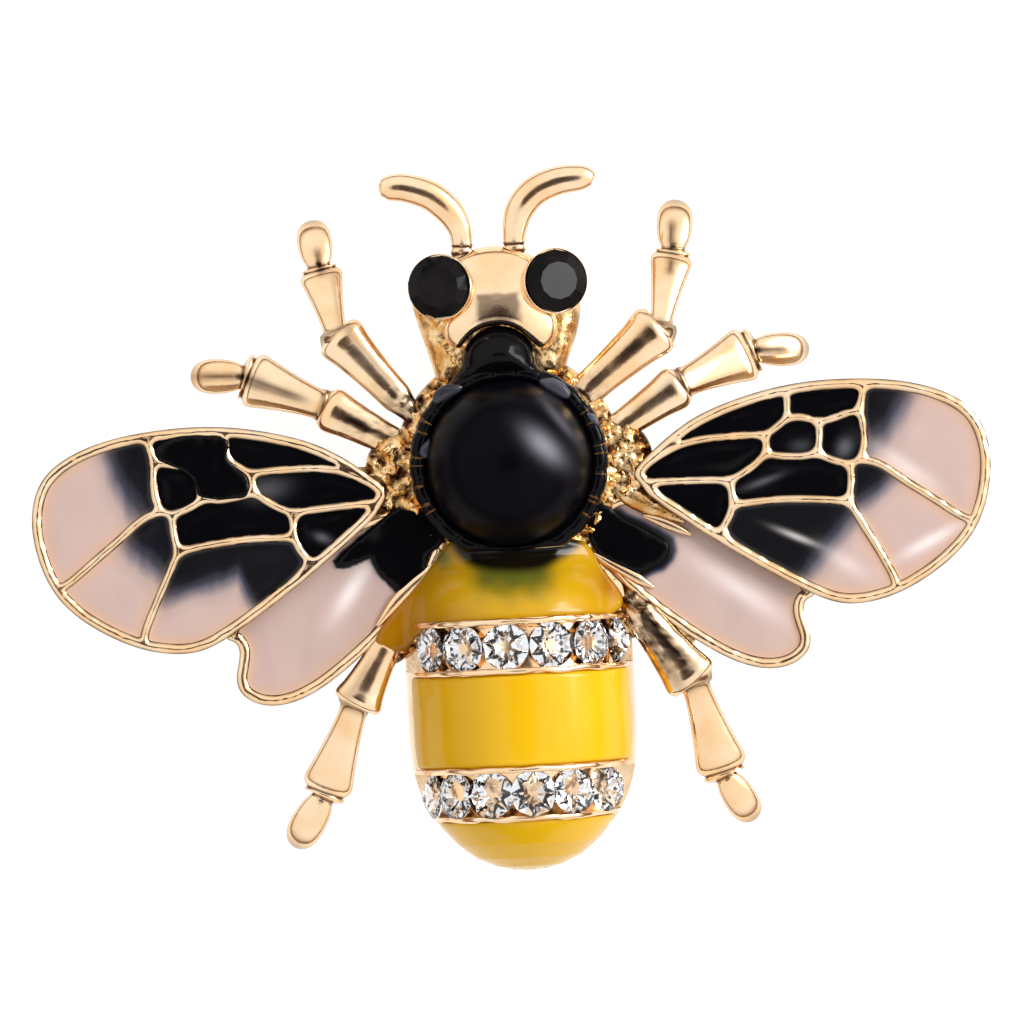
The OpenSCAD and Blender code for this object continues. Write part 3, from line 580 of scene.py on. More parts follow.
# Where each rose cell turns from black to rose: places on the boundary from the pearl's middle,
# the way towards the rose, and how wide the blend is
roseFades = {
    "left": {
        "h": [(-15.40, -5.35, 0.25, -0.97, 2.8), (-13.43, -5.88, -0.91, -0.40, 1.6)],
        "i": [(-18.50, -3.90, -0.74, -0.67, 3.0)],
        "j": [(-19.45, -0.20, -0.91, -0.42, 3.0)],
    },
    "right": {
        "h": [(15.70, -5.28, 0.71, -0.70, 2.8)],
        "i": [(18.24, -2.56, 0.63, -0.77, 2.4)],
        "j": [(19.17, 1.05, 0.78, -0.63, 3.2)],
    },
}


def fadeOver(lines):
    def fade(x, y):
        shares = []
        for placeX, placeY, wayX, wayY, over in lines:
            along = (x - placeX) * wayX + (y - pearl["y"] - placeY) * wayY
            shares.append(smoothStep(along / over + 0.5))
        return min(shares)
    return fade


def buildForewings():
    for sideName, side in sides.items():
        loops = castingLoops(foreTop, lambda p: p[0] * side > forewing["rootX"])
        cells = {}
        for name in cellNames:
            low, high = [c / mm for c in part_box(f"fore_{sideName}_{name}")]
            middle = np.array([(low.x + high.x) / 2, (low.y + high.y) / 2])
            best = min(loops[1:], key=lambda p: np.linalg.norm((p.min(0) + p.max(0)) / 2 - middle))
            cells[name] = cutCorners(best)
        outer = cutCorners(loops[0])
        holes = list(cells.values())
        wingFrame(f"forewing_{sideName}", outer, holes, foreTop, forewing, forewing[sideName])
        for k, (name, loop) in enumerate(cells.items()):
            lines = roseFades[sideName].get(name)
            kind = ("rose_enamel", roseEnamel, 0.06) if lines else ("black_enamel", blackEnamel, 0.13)
            fade = fadeOver(lines) if lines else None
            cell = f"{sideName}_{name}"
            enamelPool(f"pool_{cell}", f"fore_{cell}", loop, foreTop, *kind, k * 3.1 + side, fade)
        print("forewing", sideName, len(cells), "cells")


buildForewings()


# Hindwings: outline in percent of length and breadth, from the root outwards
hindwing = {
    "root": 3.6, "length": 10.8, "breadth": 8, "low": 11.15, "turn": 1.3, "thick": 1.3,
    "archOver": 0.25, "archDrop": 0.10, "floorBelow": 0.56, "rim": 0.5, "wave": 0.05, "edgeReflectionWidth": 0.06,
    "blend": {"right": 0.7, "left": 0.12},  # how softly the rose turns black at the root
    "line": {"ridge": 0.18, "grooveTo": 0.27, "grooveDeep": 0.03, "brown": 0.5, "crest": 1.4},
    "outline": [
        (-1, 90), (5, 76), (16, 57), (31, 37.5), (48.5, 18.5), (64, 5), (78, -1.5), (90, -0.5), (98.5, 7),
        (100.5, 17), (98.5, 27), (97.5, 34.5), (99, 40.5), (105, 43), (97, 60), (70, 85), (44, 108),
        (26, 116), (9, 112),
    ],
}


def hindOutline(side, w):
    turn = math.radians(w["turn"])
    cos, sin = math.cos(turn), math.sin(turn)
    loop = []
    for along, across in w["outline"]:
        x = side * (w["root"] + along * w["length"] / 100)
        y = across * w["breadth"] / 100 - w["low"]
        loop.append((x * cos - y * sin, x * sin + y * cos + pearl["y"]))
    return resample(cutCorners(loop[::side]), 0.1)


# Black resin that ran over the root of each hindwing, and over a vein of the left forewing
spills = {
    "root_left": [
        (-5.28, -1.69), (-6.24, -2.22), (-7.09, -2.89), (-8.15, -3.68), (-9.0, -4.41), (-8.91, -4.74),
        (-8.57, -4.83), (-7.98, -4.68), (-7.14, -4.34), (-7.13, -4.63), (-6.8, -5.23), (-6.29, -5.75),
        (-5.96, -6.17), (-5.79, -6.26), (-4.73, -5.66), (-4.34, -5.23), (-4.38, -4.73), (-4.18, -4.29),
        (-3.62, -4.07), (-3.38, -3.43), (-4.0, -1.6),
    ],
    "root_right": [
        (4.93, -2.41), (5.56, -3.02), (6.26, -3.41), (7.13, -3.91), (7.77, -4.34), (7.84, -4.77),
        (7.69, -5.11), (7.31, -5.48), (6.72, -5.67), (6.17, -5.91), (5.76, -5.71), (4.3, -4.92),
        (4.02, -4.52), (3.75, -3.95), (3.7, -2.6), (4.2, -1.8),
    ],
    "vein_left": [
        (-16.87, 2.04), (-16.36, 2.23), (-15.1, 2.22), (-13.96, 2.03), (-13.94, 1.48), (-14.11, 1.09),
        (-13.74, 0.62), (-13.02, 0.03), (-13.01, -0.82), (-13.32, -1.08), (-14.43, -1.15),
        (-15.62, -0.98), (-15.69, -0.43), (-15.91, 0.13), (-16.45, 0.51), (-17.52, 0.97), (-17.74, 1.53),
        (-17.37, 1.91),
    ],
}


def resinSpill(name, outline, top, low, edgeRound, dome, node=(), material=blackEnamel):
    outline = anticlockwise(resample(cutCorners(outline), 0.05))
    sheet = fillSheet(outline, [], 0.1, (0.06, 0.13, 0.22, 0.35), 0.25)
    points, _, edge, _ = sheet
    heights = top - rounded(edge, edgeRound) + dome * (1 - np.exp(-edge / 0.5))
    heights += 0.07 * np.array([ripple(p, 0.9, 5) for p in points])
    sheetPiece(name, sheet, heights, low, [material], "black_enamel", node, 60, shift=pearl["y"])


def buildHindwings():
    w = hindwing
    for sideName, side in sides.items():
        outer = hindOutline(side, w)
        inner = outer + inwardNormals(outer) * w["rim"]
        wingFrame(f"hindwing_{sideName}", outer, [inner], hindTop, w, w["line"])
        patch = np.array(spills[f"root_{sideName}"]) + (0, pearl["y"])
        tree = treeOf([patch])
        blend = w["blend"][sideName]

        def fade(x, y):
            away = tree.find((x, y, 0))[2]
            return 0.0 if insideLoop([(x, y)], patch)[0] else smoothStep(away / blend + 0.08)

        loop = inner + inwardNormals(inner) * pool["gap"]
        enamelPool(f"pool_hind_{sideName}_pane", f"hind_{sideName}_pane", loop, hindTop,
                   "rose_enamel", roseEnamel, 0.05, side, fade)
        resinSpill(f"pool_hind_{sideName}_root", spills[f"root_{sideName}"], hindTop + 0.1, hindTop - 0.5,
                   0.16, 0.06, (f"hind_{sideName}_root",))
        print("hindwing", sideName)
    resinSpill("vein_spill", spills["vein_left"], foreTop, foreTop - 0.4, 0.1, 0.05)


buildHindwings()


def turned(profile, count, centre, axis):
    # Rings of points around an axis, closed at both ends
    sideways = axis.orthogonal().normalized()
    other = axis.cross(sideways)
    verts = []
    for r, z in profile:
        for t in np.linspace(0, 2 * math.pi, count, endpoint=False):
            verts.append(centre + (sideways * math.cos(t) + other * math.sin(t)) * r + axis * z)
    return verts, gridFaces(len(profile), count) + endCaps(len(profile), count)


# The pearl, flat at the foot, with two highlights painted into its colour
pearlHighlights = [(1.75, 0.75, 0.71, -0.71, 1.15, 0.5, 0.58), (2.6, 2.0, 0.6, -0.8, 1.3, 0.2, 0.22)]


def buildPearl():
    r = pearl["radius"]
    angles = np.linspace(math.asin((pearl["foot"] - pearl["z"]) / r), math.radians(89.4), 60)
    profile = [(r * math.cos(a), r * math.sin(a)) for a in angles]
    verts, faces = turned(profile, 120, Vector((0, pearl["y"], pearl["z"])), Vector((0, 0, 1)))
    highlightShares = [softPatches(pearlHighlights, v.x, v.y) for v in verts]
    makePiece("pearl", verts, faces, [blackPearl], "black_pearl", ("thorax_pearl",), 40, {"paintedHighlight": highlightShares})


buildPearl()

# The collar: a ring of puffed lobes around the pearl
collar = {
    "inner": 4.16, "outer": 4.92, "lobes": 24, "lobeDeep": 0.07, "high": 1.2, "puff": 0.05, "chord": 4.36,
    "low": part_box("collar_enamel")[0].z / mm, "ribWide": 0.12,
    "ribs": (-37, -28, -25, -10, 3, 8, 23, 31, 151, 158, 174, 179, 192, 204, 209),
}


def buildCollar():
    c = collar
    around, section = c["lobes"] * 14, 18
    verts = []
    for t in np.linspace(0, 2 * math.pi, around, endpoint=False):
        lobe = 1 - (1 - abs(math.cos(c["lobes"] * t / 2))) ** 1.7
        outer = c["outer"] + c["lobeDeep"] * lobe
        if math.sin(t) < 0:
            outer = max(c["inner"] + 0.06, min(outer, c["chord"] / -math.sin(t)))
        for k, s in enumerate(np.linspace(0, math.pi, section)):  # inner edge, over the top, outer foot
            r = (c["inner"] + outer) / 2 - math.cos(s) * (outer - c["inner"]) / 2
            lift = c["high"] - c["puff"] * (1 - lobe) * smoothStep(s / 1.5)
            lift *= math.sin(s) ** 0.45 if s > math.pi / 2 else 1 - 0.16 * (1 - math.sin(s))
            z = c["low"] + (lift if 0 < k < section - 1 else 0)
            verts.append((r * math.cos(t), pearl["y"] + r * math.sin(t), z))
    faces = [f[::-1] for f in gridFaces(around, section, looped=True)]
    makePiece("collar", verts, faces, [blackEnamel], "black_enamel", ("collar_enamel",), 60)


buildCollar()
print("pearl and collar")


# Abdomen: percent of its length from the waist, then half-width and height in percent
abdomen = {
    "waist": 4.9, "length": 15.53, "wide": 11.44, "high": 6, "coat": 0.4, "coatLow": 1.5, "channelLow": 0.6,
    "upper": 8.02, "lower": 15.36, "channel": 2.2, "deep": 1.3, "lip": 0.22, "wall": 0.8,
    "gap": 0.04, "seat": 0.72, "solidFront": 1, "solidTail": 1.6,
    # painted shade, amber on the left side: it starts left of a place, grows over a length and reaches a
    # share
    "bandLeftShade": (1.0, 5.0, 0.25), "tailLeftShade": (0.5, 3.0, 0.1),
    "form": [
        (0, 82, 58), (4, 92, 72), (9, 97, 86), (15, 99, 95), (22, 100, 99), (45, 100, 100),
        (58, 100, 100), (68, 97.5, 98), (77, 90, 91), (84.5, 78, 79), (91, 62, 63), (95.5, 47, 47),
        (98.5, 30, 30), (100, 12, 12),
    ],
}


def abdomenSize(y):
    # Half width and height at a place along the abdomen
    share, half, high = np.array(abdomen["form"], float).T
    s = 100 * (y - abdomen["waist"]) / abdomen["length"]
    wide, tall = np.interp(s, share, half), np.interp(s, share, high)
    return wide * abdomen["wide"] / 200, tall * abdomen["high"] / 100


def smoothSize(y):
    # The form's corners eased over a short stretch
    spots = [abdomenSize(y + d) for d in (-0.45, -0.15, 0.15, 0.45)] if y < 18.5 else [abdomenSize(y)]
    return tuple(np.mean(spots, 0))


def coatPiece(name, node, fromY, toY, low, rows, amberAndShade):
    # A thick coat over part of the abdomen, rounded at its edges
    steps = 64
    verts, amberAndShades = [], []
    begin, over, most = amberAndShade
    for outside in (True, False):
        for y in np.linspace(fromY, toY, rows):
            half, high = smoothSize(y)
            edgeY = min(y - fromY, toY - y) if toY < 20 else y - fromY
            start = math.asin(min(0.98, low / max(high, low + 0.05)))
            for t in np.linspace(start, math.pi - start, steps + 1):
                edge = min(edgeY, (math.pi / 2 - abs(t - math.pi / 2) - start) * half)
                less = 0.02 + 0.8 * rounded(max(edge, 0), 0.22) if outside else abdomen["coat"]
                x, z = (half - less) * math.cos(t), (high - less) * math.sin(t)
                verts.append((x, pearl["y"] - y, backZ + (z if outside else max(z, low))))
                # Amber painted shade, growing towards the left side
                amberAndShades.append(smoothStep((-x - begin) / over) * most)
    width = steps + 1
    under = rows * width
    border = [*range(width), *range(2 * width - 1, under, width)]
    border += [*range(under - 2, under - width - 1, -1), *range(under - 2 * width, 0, -width)]
    faces = [f[::-1] for f in gridFaces(rows, width, ring=False)] + gridFaces(rows, width, under, False)
    faces += wallBetween(border, [v + under for v in border], False)
    makePiece(name, verts, faces, [yellowEnamel], "yellow_enamel", (node,), 180, {"amberAndShade": amberAndShades})


shoulder = {
    "outline": [
        (-3.0, -3.59), (-3.68, -4.31), (-4.86, -5.75), (-6.02, -6.9), (-7.09, -8.1), (-7.22, -8.88),
        (-6.34, -9.28), (-5.43, -9.0), (-4.99, -8.22), (-3.37, -7.86), (-0.86, -7.82), (2.15, -7.78),
        (4.15, -7.8), (4.75, -7.85), (5.35, -7.45), (5.35, -6.85), (4.84, -6.11), (4.27, -5.38),
        (3.84, -4.3), (3.11, -3.9), (0.3, -3.7),
    ],
    "ledge": [
        (-3.3, -3.73), (-3.08, -4.34), (-2.38, -5.1), (-1.24, -5.44), (0.25, -5.57), (1.46, -5.5),
        (2.28, -5.1), (3.21, -4.6), (3.7, -4.06), (3.0, -3.5), (-3.0, -3.5),
    ],
    "hipZ": 5.45, "blend": 0.7, "edgeRound": 0.3, "low": 0.7,
    # soft spots: a place with its half width and half height; the second is a painted reflection of the
    # pearl
    "amberSpot": (5.0, -6.3, 1.1, 0.8), "pearlReflectionSpot": (-3.6, -4.5, 0.5, 0.6),
}


def softSpot(x, y, spot):
    placeX, placeY, halfX, halfY = spot
    return math.exp(-((x - placeX) / halfX) ** 2 - ((y - placeY) / halfY) ** 2)


def buildShoulder():
    s = shoulder
    outline, ledge = [anticlockwise(resample(cutCorners(s[key]), 0.05)) for key in ("outline", "ledge")]
    sheet = fillSheet(outline, [], 0.09, (0.07, 0.15, 0.24), 0.10)
    points, _, edge, _ = sheet
    away = distances(treeOf([ledge]), points) * np.where(insideLoop(points, ledge), -1, 1)
    heights, amberAndShades, pearlReflections, ledgeShades = [], [], [], []
    for (x, y), e, d in zip(points, edge, away):
        half, high = smoothSize(-y)
        dome = backZ + high * math.sqrt(max(0, 1 - (x / half) ** 2))
        z = 0.5 * (dome + s["hipZ"] + math.sqrt((dome - s["hipZ"]) ** 2 + s["blend"] ** 2)) - s["blend"] / 2
        heights.append(z - float(rounded(e, s["edgeRound"])))
        # Amber where the yellow runs thin at the edge, and amber painted shade growing towards the left
        # side
        left = smoothStep((-x - 1.0) / 5.0) * 0.85 + smoothStep((-x - 4.6) / 1.5) * 0.3
        thin = 0.08 + 0.3 * math.exp(-e / 0.35)
        amberAndShades.append(min(1, thin + 0.7 * left + softSpot(x, y, s["amberSpot"])))
        # Painted green reflection of the pearl, below the ledge and in its left corner
        corner = softSpot(x, y, s["pearlReflectionSpot"])
        under = smoothStep(1 - (d - 0.2 + 0.25 * ripple((x, y), 1.3, 2)) / 1.7)
        pearlReflections.append(min(1, 0.85 * under * smoothStep(1.9 - abs(x + 0.1) / 1.4) + 0.8 * corner))
        # Painted shade under the pearl's ledge, and a little over the whole shoulder
        shade = smoothStep(0.5 - (d + 0.1) / 0.6)
        ledgeShades.append(shade + 0.22 * (1 - shade))
    attributes = {"amberAndShade": (amberAndShades, 0.0), "pearlReflection": (pearlReflections, 0.0), "ledgeShade": (ledgeShades, 0.0)}
    sheetPiece("shoulder_coat", sheet, heights, backZ + s["low"], [yellowEnamel], "yellow_enamel",
               ("shoulder_enamel",), 60, attributes, pearl["y"])


def buildCoats():
    a = abdomen
    buildShoulder()
    fromChannel, toChannel = a["channel"] + a["lip"] + a["gap"], a["lip"] + a["gap"]
    coatPiece("band_coat", "band_enamel", a["upper"] + fromChannel, a["lower"] - toChannel,
              a["coatLow"] + a["gap"], 40, a["bandLeftShade"])
    coatPiece("tail_coat", "tail_enamel", a["lower"] + fromChannel, a["waist"] + a["length"] - 0.02,
              a["coatLow"] / 2 + a["gap"], 60, a["tailLeftShade"])
    print("yellow coats")


buildCoats()


def shellDepth(y, z):
    # How far the metal lies below the outside of the abdomen, under the coats and the stones
    a = abdomen
    past = a["channel"] + a["lip"]
    upper, lower = a["upper"], a["lower"]
    coats = [(0, upper - a["lip"]), (upper + past, lower - a["lip"]), (lower + past, 99)]
    for k, (low, high) in enumerate(coats):
        if low < y < high and z > (a["coatLow"] if k < 2 else a["coatLow"] / 2):
            return a["coat"] + a["gap"] / 2
    for start in (upper, lower):
        if start < y < start + a["channel"] and z > a["channelLow"]:
            return a["seat"]
    return 0.0


def buildShell():
    a = abdomen
    ys = [*np.linspace(a["waist"] - 0.5, a["waist"] + a["length"], 70)]
    for start in (a["upper"], a["lower"]):
        for cut in (start - a["lip"], start, start + a["channel"], start + a["channel"] + a["lip"]):
            ys += [cut - 0.012, cut + 0.012]
    ys = sorted(set(np.round(ys, 4)))
    turns = np.linspace(0, math.pi, 97)
    verts = []
    for y in ys:
        half, high = smoothSize(y)
        for t in turns:
            less = min(shellDepth(y, high * math.sin(t)), half - 0.1, high - 0.1)
            z = backZ + max(0, (high - less) * math.sin(t))
            verts.append(((half - less) * math.cos(t), pearl["y"] - y, z))
    rows, width = len(ys), len(turns)
    faces = [f[::-1] for f in gridFaces(rows, width, ring=False)] + endCaps(rows, width)
    # Hollow under the back
    hollow = len(verts)
    inside = [y for y in ys if a["waist"] + a["solidFront"] < y < a["waist"] + a["length"] - a["solidTail"]]
    for y in inside:
        half, high = smoothSize(y)
        halfIn = max(0.3, half - a["deep"] - a["wall"])
        highIn = max(0.2, high - a["deep"] - a["wall"])
        verts += [(halfIn * math.cos(t), pearl["y"] - y, backZ + highIn * math.sin(t)) for t in turns]
    faces += gridFaces(len(inside), width, hollow, False)
    faces += [cap[::-1] for cap in endCaps(len(inside), width, hollow)]
    # Flat back around the hollow
    rings, edges, start = [], [], 0
    for first, count in ((0, rows), (hollow, len(inside))):
        side = [first + k * width for k in range(count)]
        rings.append(side + [v + width - 1 for v in reversed(side)])
        edges += [(start + i, start + (i + 1) % (2 * count)) for i in range(2 * count)]
        start += 2 * count
    both = rings[0] + rings[1]
    result = delaunay_2d_cdt([Vector(verts[i][:2]) for i in both], edges, [], 0, 1e-7)
    flat = np.array([tuple(v) for v in result[0]])
    outerLoop, innerLoop = [np.array([verts[i][:2] for i in ring]) for ring in rings]
    for f in result[2]:
        centre = flat[list(f)].mean(0)[None]
        if insideLoop(centre, outerLoop)[0] and not insideLoop(centre, innerLoop)[0]:
            faces.append(tuple(both[result[3][v][0]] for v in f)[::-1])
    makePiece("abdomen_shell", verts, faces, [gold], "gold", ("casting",), 40)


buildShell()


def stonePlace(node):
    # A cut stone's middle on its girdle, its axis out of the metal, and its radius
    mesh = nodes[node].data
    points = np.array([tuple(v.co / mm) for v in mesh.vertices])
    points = np.unique(points.round(4), axis=0)
    centre = points.mean(0)
    _, _, axes = np.linalg.svd(points - centre)
    axis = axes[2] * np.sign(axes[2][2])
    for _ in range(3):
        flat = (points - centre) - np.outer((points - centre) @ axis, axis)
        reach = np.linalg.norm(flat, axis=1)
        centre = points[reach > reach.max() * 0.97].mean(0)
    return Vector(centre), Vector(axis), float(reach.max())


def cutStone(name, node, materials, slot, cut):
    # Table, star and kite facets above the girdle, kites below it
    centre, axis, radius = stonePlace(node)
    lean = cut.get("lean", 1)
    axis = (axis.normalized() * lean + Vector((0, 0, 1 - lean))).normalized()
    radius *= cut.get("grow", 1)
    sideways = axis.orthogonal().normalized()
    other = axis.cross(sideways)
    n, table, crown, back = [cut[key] for key in ("facets", "table", "crown", "back")]

    def at(r, turn, z):
        t = 2 * math.pi * turn + cut["spin"]
        return tuple(centre + (sideways * math.cos(t) + other * math.sin(t)) * r + axis * z)

    verts = [at(radius * table, i / n, crown) for i in range(n)]
    verts += [at(radius * (0.35 + 0.65 * table) * 1.04, (i + 0.5) / n, crown * 0.55) for i in range(n)]
    middle = math.cos(math.pi / n) if cut.get("straight") else 1
    for z in (0.03, -0.03):
        verts += [at(radius * (middle if i % 2 else 1), i / (2 * n), z) for i in range(2 * n)]
    verts += [at(radius * 0.5, (i + 0.5) / n, -back * 0.4) for i in range(n)]
    verts.append(at(0, 0, -back))
    faces, kinds = [tuple(range(n))], [cut.get("tableKind", 0)]
    tip = 7 * n
    for i in range(n):
        j, before = (i + 1) % n, (i - 1) % n
        star, kite = n + i, 6 * n + i
        left, mid, right = 2 * n + 2 * i, 2 * n + 2 * i + 1, 2 * n + 2 * j
        lowLeft, lowMid, lowRight = [v + 2 * n for v in (left, mid, right)]
        faces += [(i, star, j), (i, n + before, left, star), (star, left, mid), (star, mid, right)]
        faces += [(left, lowLeft, lowMid, mid), (mid, lowMid, lowRight, right)]
        faces += [(lowLeft, kite, lowMid), (lowMid, kite, lowRight), (lowLeft, 6 * n + before, tip, kite)]
        kinds += [0] * 4 + [cut.get("backKind", 1)] * 5
    makePiece(name, verts, faces, materials, slot, (node,), 0, faceMaterial=kinds)


crystalCut = {"table": 0.48, "crown": 0.42, "back": 0.52, "facets": 8, "grow": 1.12}
eyeCut = {"table": 0.60, "crown": 0.5, "back": 0.95, "facets": 12, "straight": True, "backKind": 0}


def buildStones():
    for k in range(1, 7):
        for row, begin in (("upper", 0), ("lower", 1.1)):
            cut = dict(crystalCut, spin=0.7 * k + begin)
            cutStone(f"crystal_{row}_{k}", f"stone_{row}_{k}", [clearGlass, silverFoil], "clear_stone", cut)
    eyeLeft = dict(eyeCut, spin=0.1, lean=0.5, table=0.66)
    eyeRight = dict(eyeCut, spin=0.3, tableKind=1)
    cutStone("eye_stone_left", "eye_left", [jetGlass], "jet_glass", eyeLeft)
    cutStone("eye_stone_right", "eye_right", [jetGlass, jetTable], "jet_glass", eyeRight)
    print("stones set")


buildStones()


# Legs: root, knee, ankle and foot, then the widths of thigh, shin and foot, in percent
legs = {
    "reach": 15.6, "wide": 2.35, "share": 0.78, "rootZ": 0.8, "footZ": 0.35,
    "rows": {
        "leg_left_front": (-35, 23, -53.5, 44.8, -58, 66.5, -60, 82, 100, 86, 74),
        "leg_left_middle": (-31.5, 5.5, -58.5, 21.5, -84, 32.5, -101.5, 33.5, 90, 110, 74),
        "leg_left_hind": (-43, -57.5, -53.5, -75.5, -65.5, -104.5, -76, -120.5, 98, 100, 74),
        "leg_right_front": (26, 22, 51, 42, 56.5, 66, 58.5, 82.5, 106, 84, 76),
        "leg_right_middle": (31.5, 7, 57, 22.8, 81, 32.5, 99, 32, 88, 110, 72),
        "leg_right_hind": (40, -51, 56, -74, 64.5, -104.5, 73.5, -119.5, 108, 102, 70),
    },
    "fall": (100, 92, 36, 6),
    # how many rings at the root are rough
    "rough": {
        "leg_left_front": 14, "leg_left_middle": 26, "leg_left_hind": 8,
        "leg_right_front": 14, "leg_right_middle": 14, "leg_right_hind": 30,
    },
    # painted dark reflections as brown streaks: stretch, middle and half length along it, place across it,
    # strength
    "reflectionStreaks": {
        "leg_left_front": [(2, 12, 26, 0.04, 0.9), (1, 55, 45, 0.3, 0.35), (0, 60, 50, 0.24, 0.5)],
        "leg_left_middle": [(2, 45, 42, 0.0, 0.85), (1, 62, 42, -0.04, 0.95), (0, 62, 16, 0.0, 0.9)],
        "leg_left_hind": [(0, 60, 40, 0.2, 0.4)],
        "leg_right_front": [(2, 30, 28, -0.08, 0.9), (1, 78, 12, 0.0, 0.8), (0, 72, 30, -0.05, 0.7)],
        "leg_right_middle": [(2, 32, 34, 0.02, 0.9), (0, 66, 30, -0.08, 0.7)],
        "leg_right_hind": [(0, 45, 40, -0.12, 0.8), (0, 60, 40, 0.25, 0.5)],
    },
    # stretch (0 thigh, 1 shin, 2 foot), share along it, share of its width, and how brown the ring there is
    "swell": [
        (0, -30, 40, 0.5), (0, -12, 55, 0.3), (0, 0, 68, 0.1), (0, 25, 74, 0), (0, 50, 84, 0),
        (0, 70, 94, 0), (0, 80, 102, 0), (0, 88, 107, 0), (0, 93, 104, 0), (0, 97, 93, 0),
        (0, 100, 78, 0.5), (1, 2, 64, 0.6), (1, 10, 60, 0), (1, 28, 67, 0), (1, 54, 84, 0),
        (1, 72, 98, 0), (1, 82, 106, 0), (1, 88, 104, 0), (1, 92.5, 91, 0.2), (1, 95, 82, 0.8),
        (1, 97, 89, 0), (1, 99, 86, 0), (2, 2, 68, 0.7), (2, 8, 74, 0), (2, 20, 88, 0), (2, 38, 98, 0),
        (2, 55, 101, 0), (2, 68, 98, 0), (2, 79, 90, 0.05), (2, 88, 75, 0.2), (2, 95, 54, 0.4),
        (2, 99.5, 28, 0.55), (2, 101, 8, 0.6),
    ],
}


def sweep(stations, section):
    # Rings of a section along stations of place, width and height; the section's side lies level
    verts = []
    for i, s in enumerate(stations):
        way = stations[min(len(stations) - 1, i + 2)][:2] - stations[max(0, i - 2)][:2]
        way /= max(np.linalg.norm(way), 1e-9)
        for across, up in section:
            verts.append((s[0] + way[1] * across * s[3], s[1] - way[0] * across * s[3], s[2] + up * s[4]))
    return verts, gridFaces(len(stations), len(section)) + endCaps(len(stations), len(section))


def refine(stations, parts):
    # Catmull-Rom curve through stations
    p = [np.array(s, float) for s in stations]
    p = [2 * p[0] - p[1]] + p + [2 * p[-1] - p[-2]]
    fine = []
    for a, b, c, d in zip(p, p[1:], p[2:], p[3:]):
        for t in np.arange(parts) / parts:
            bend = 2 * a - 5 * b + 4 * c - d
            fine.append(0.5 * (2 * b + (c - a) * t + bend * t * t + (3 * b - a - 3 * c + d) * t ** 3))
    return fine + [p[-2]]


def roundSection(count, square=1.0, upper=1.0):
    section = []
    for k in range(count):
        t = 2 * math.pi * k / count
        c, s = math.cos(t), math.sin(t)
        rise = 0.5 * math.copysign(abs(s) ** square, s)
        section.append((0.5 * math.copysign(abs(c) ** square, c), rise * upper if s > 0 else rise))
    return section


def rod(name, stations, parts, section, material=gold, rough=0, sides=0.0, reflectionStreaks=()):
    # Swept metal. A station is its place, width, height and how brown it is, and on a leg its place
    # along the leg. The first rings may be rough, and the lower sides and streaks get brown painted
    # reflections.
    fine = refine(stations, parts)
    verts, faces = sweep(fine, section)
    # Brown painted reflection on the lower sides
    brown = [s[5] + sides * min(1, max(0, 1 - up / 0.16)) for s in fine for _, up in section]
    # Brown painted reflections in streaks
    for part, middle, half, across, strength in reflectionStreaks:
        for i, s in enumerate(fine):
            along = (s[6] - 100 * part - middle) / half
            for k, (side, up) in enumerate(section):
                if up > 0:
                    off = (side - across) / (0.09 + 0.05 * abs(along))
                    brown[i * len(section) + k] += strength * math.exp(-along ** 4 - off ** 2)
    for k in range(len(section) * rough):
        share, p = 1 - k / (len(section) * rough), Vector(verts[k])
        uneven = noise.noise(p * 3) + 0.5 * noise.noise(p * 7)
        brown[k] += share * max(0, 1.6 * uneven + 0.45)
        verts[k] = (p.x, p.y, p.z + 0.12 * share * uneven)
    brown = [min(1, max(0, b)) for b in brown]
    makePiece(name, verts, faces, [material], "gold", ("casting",), 42, {"brown": brown})


def buildLegs():
    section = roundSection(32, 0.96, 0.62)
    for name, row in legs["rows"].items():
        foot = 0 if row[1] < 0 else legs["footZ"]
        places = np.array(row[:8]).reshape(4, 2) * legs["reach"] / 100 + (0, pearl["y"])
        heights = foot + (backZ + legs["rootZ"] - foot) * np.array(legs["fall"]) / 100
        joints = np.column_stack([places, heights])
        stations = []
        for part, share, swell, brown in legs["swell"]:
            x, y, z = joints[part] + (joints[part + 1] - joints[part]) * share / 100
            wide = legs["wide"] * row[8 + part] / 100 * swell / 100
            high = wide * legs["share"] * (100 / swell) ** 0.45
            stations.append((x, y, z + high / 2, wide, high, brown, 100 * part + share))
        rod(name, stations, 4, section, gold, legs["rough"][name], 0.4, legs["reflectionStreaks"][name])
    print("six legs")


buildLegs()


def wire(name, path, wide, z, rise=0.7, wobble=0.0, material=gold, brown=0.0):
    # A thin raised line of metal along a path counted from the pearl's middle
    stations = []
    for k, p in enumerate(path):
        along = k / (len(path) - 1)
        w = wide * min(1, 0.3 + 3 * min(along, 1 - along)) * (1 + wobble * ripple(p, 2.3, 9))
        stations.append((p[0], p[1] + pearl["y"], p[2] if len(p) > 2 else z, w, w * rise, brown))
    rod(name, stations, 8, roundSection(12), material)


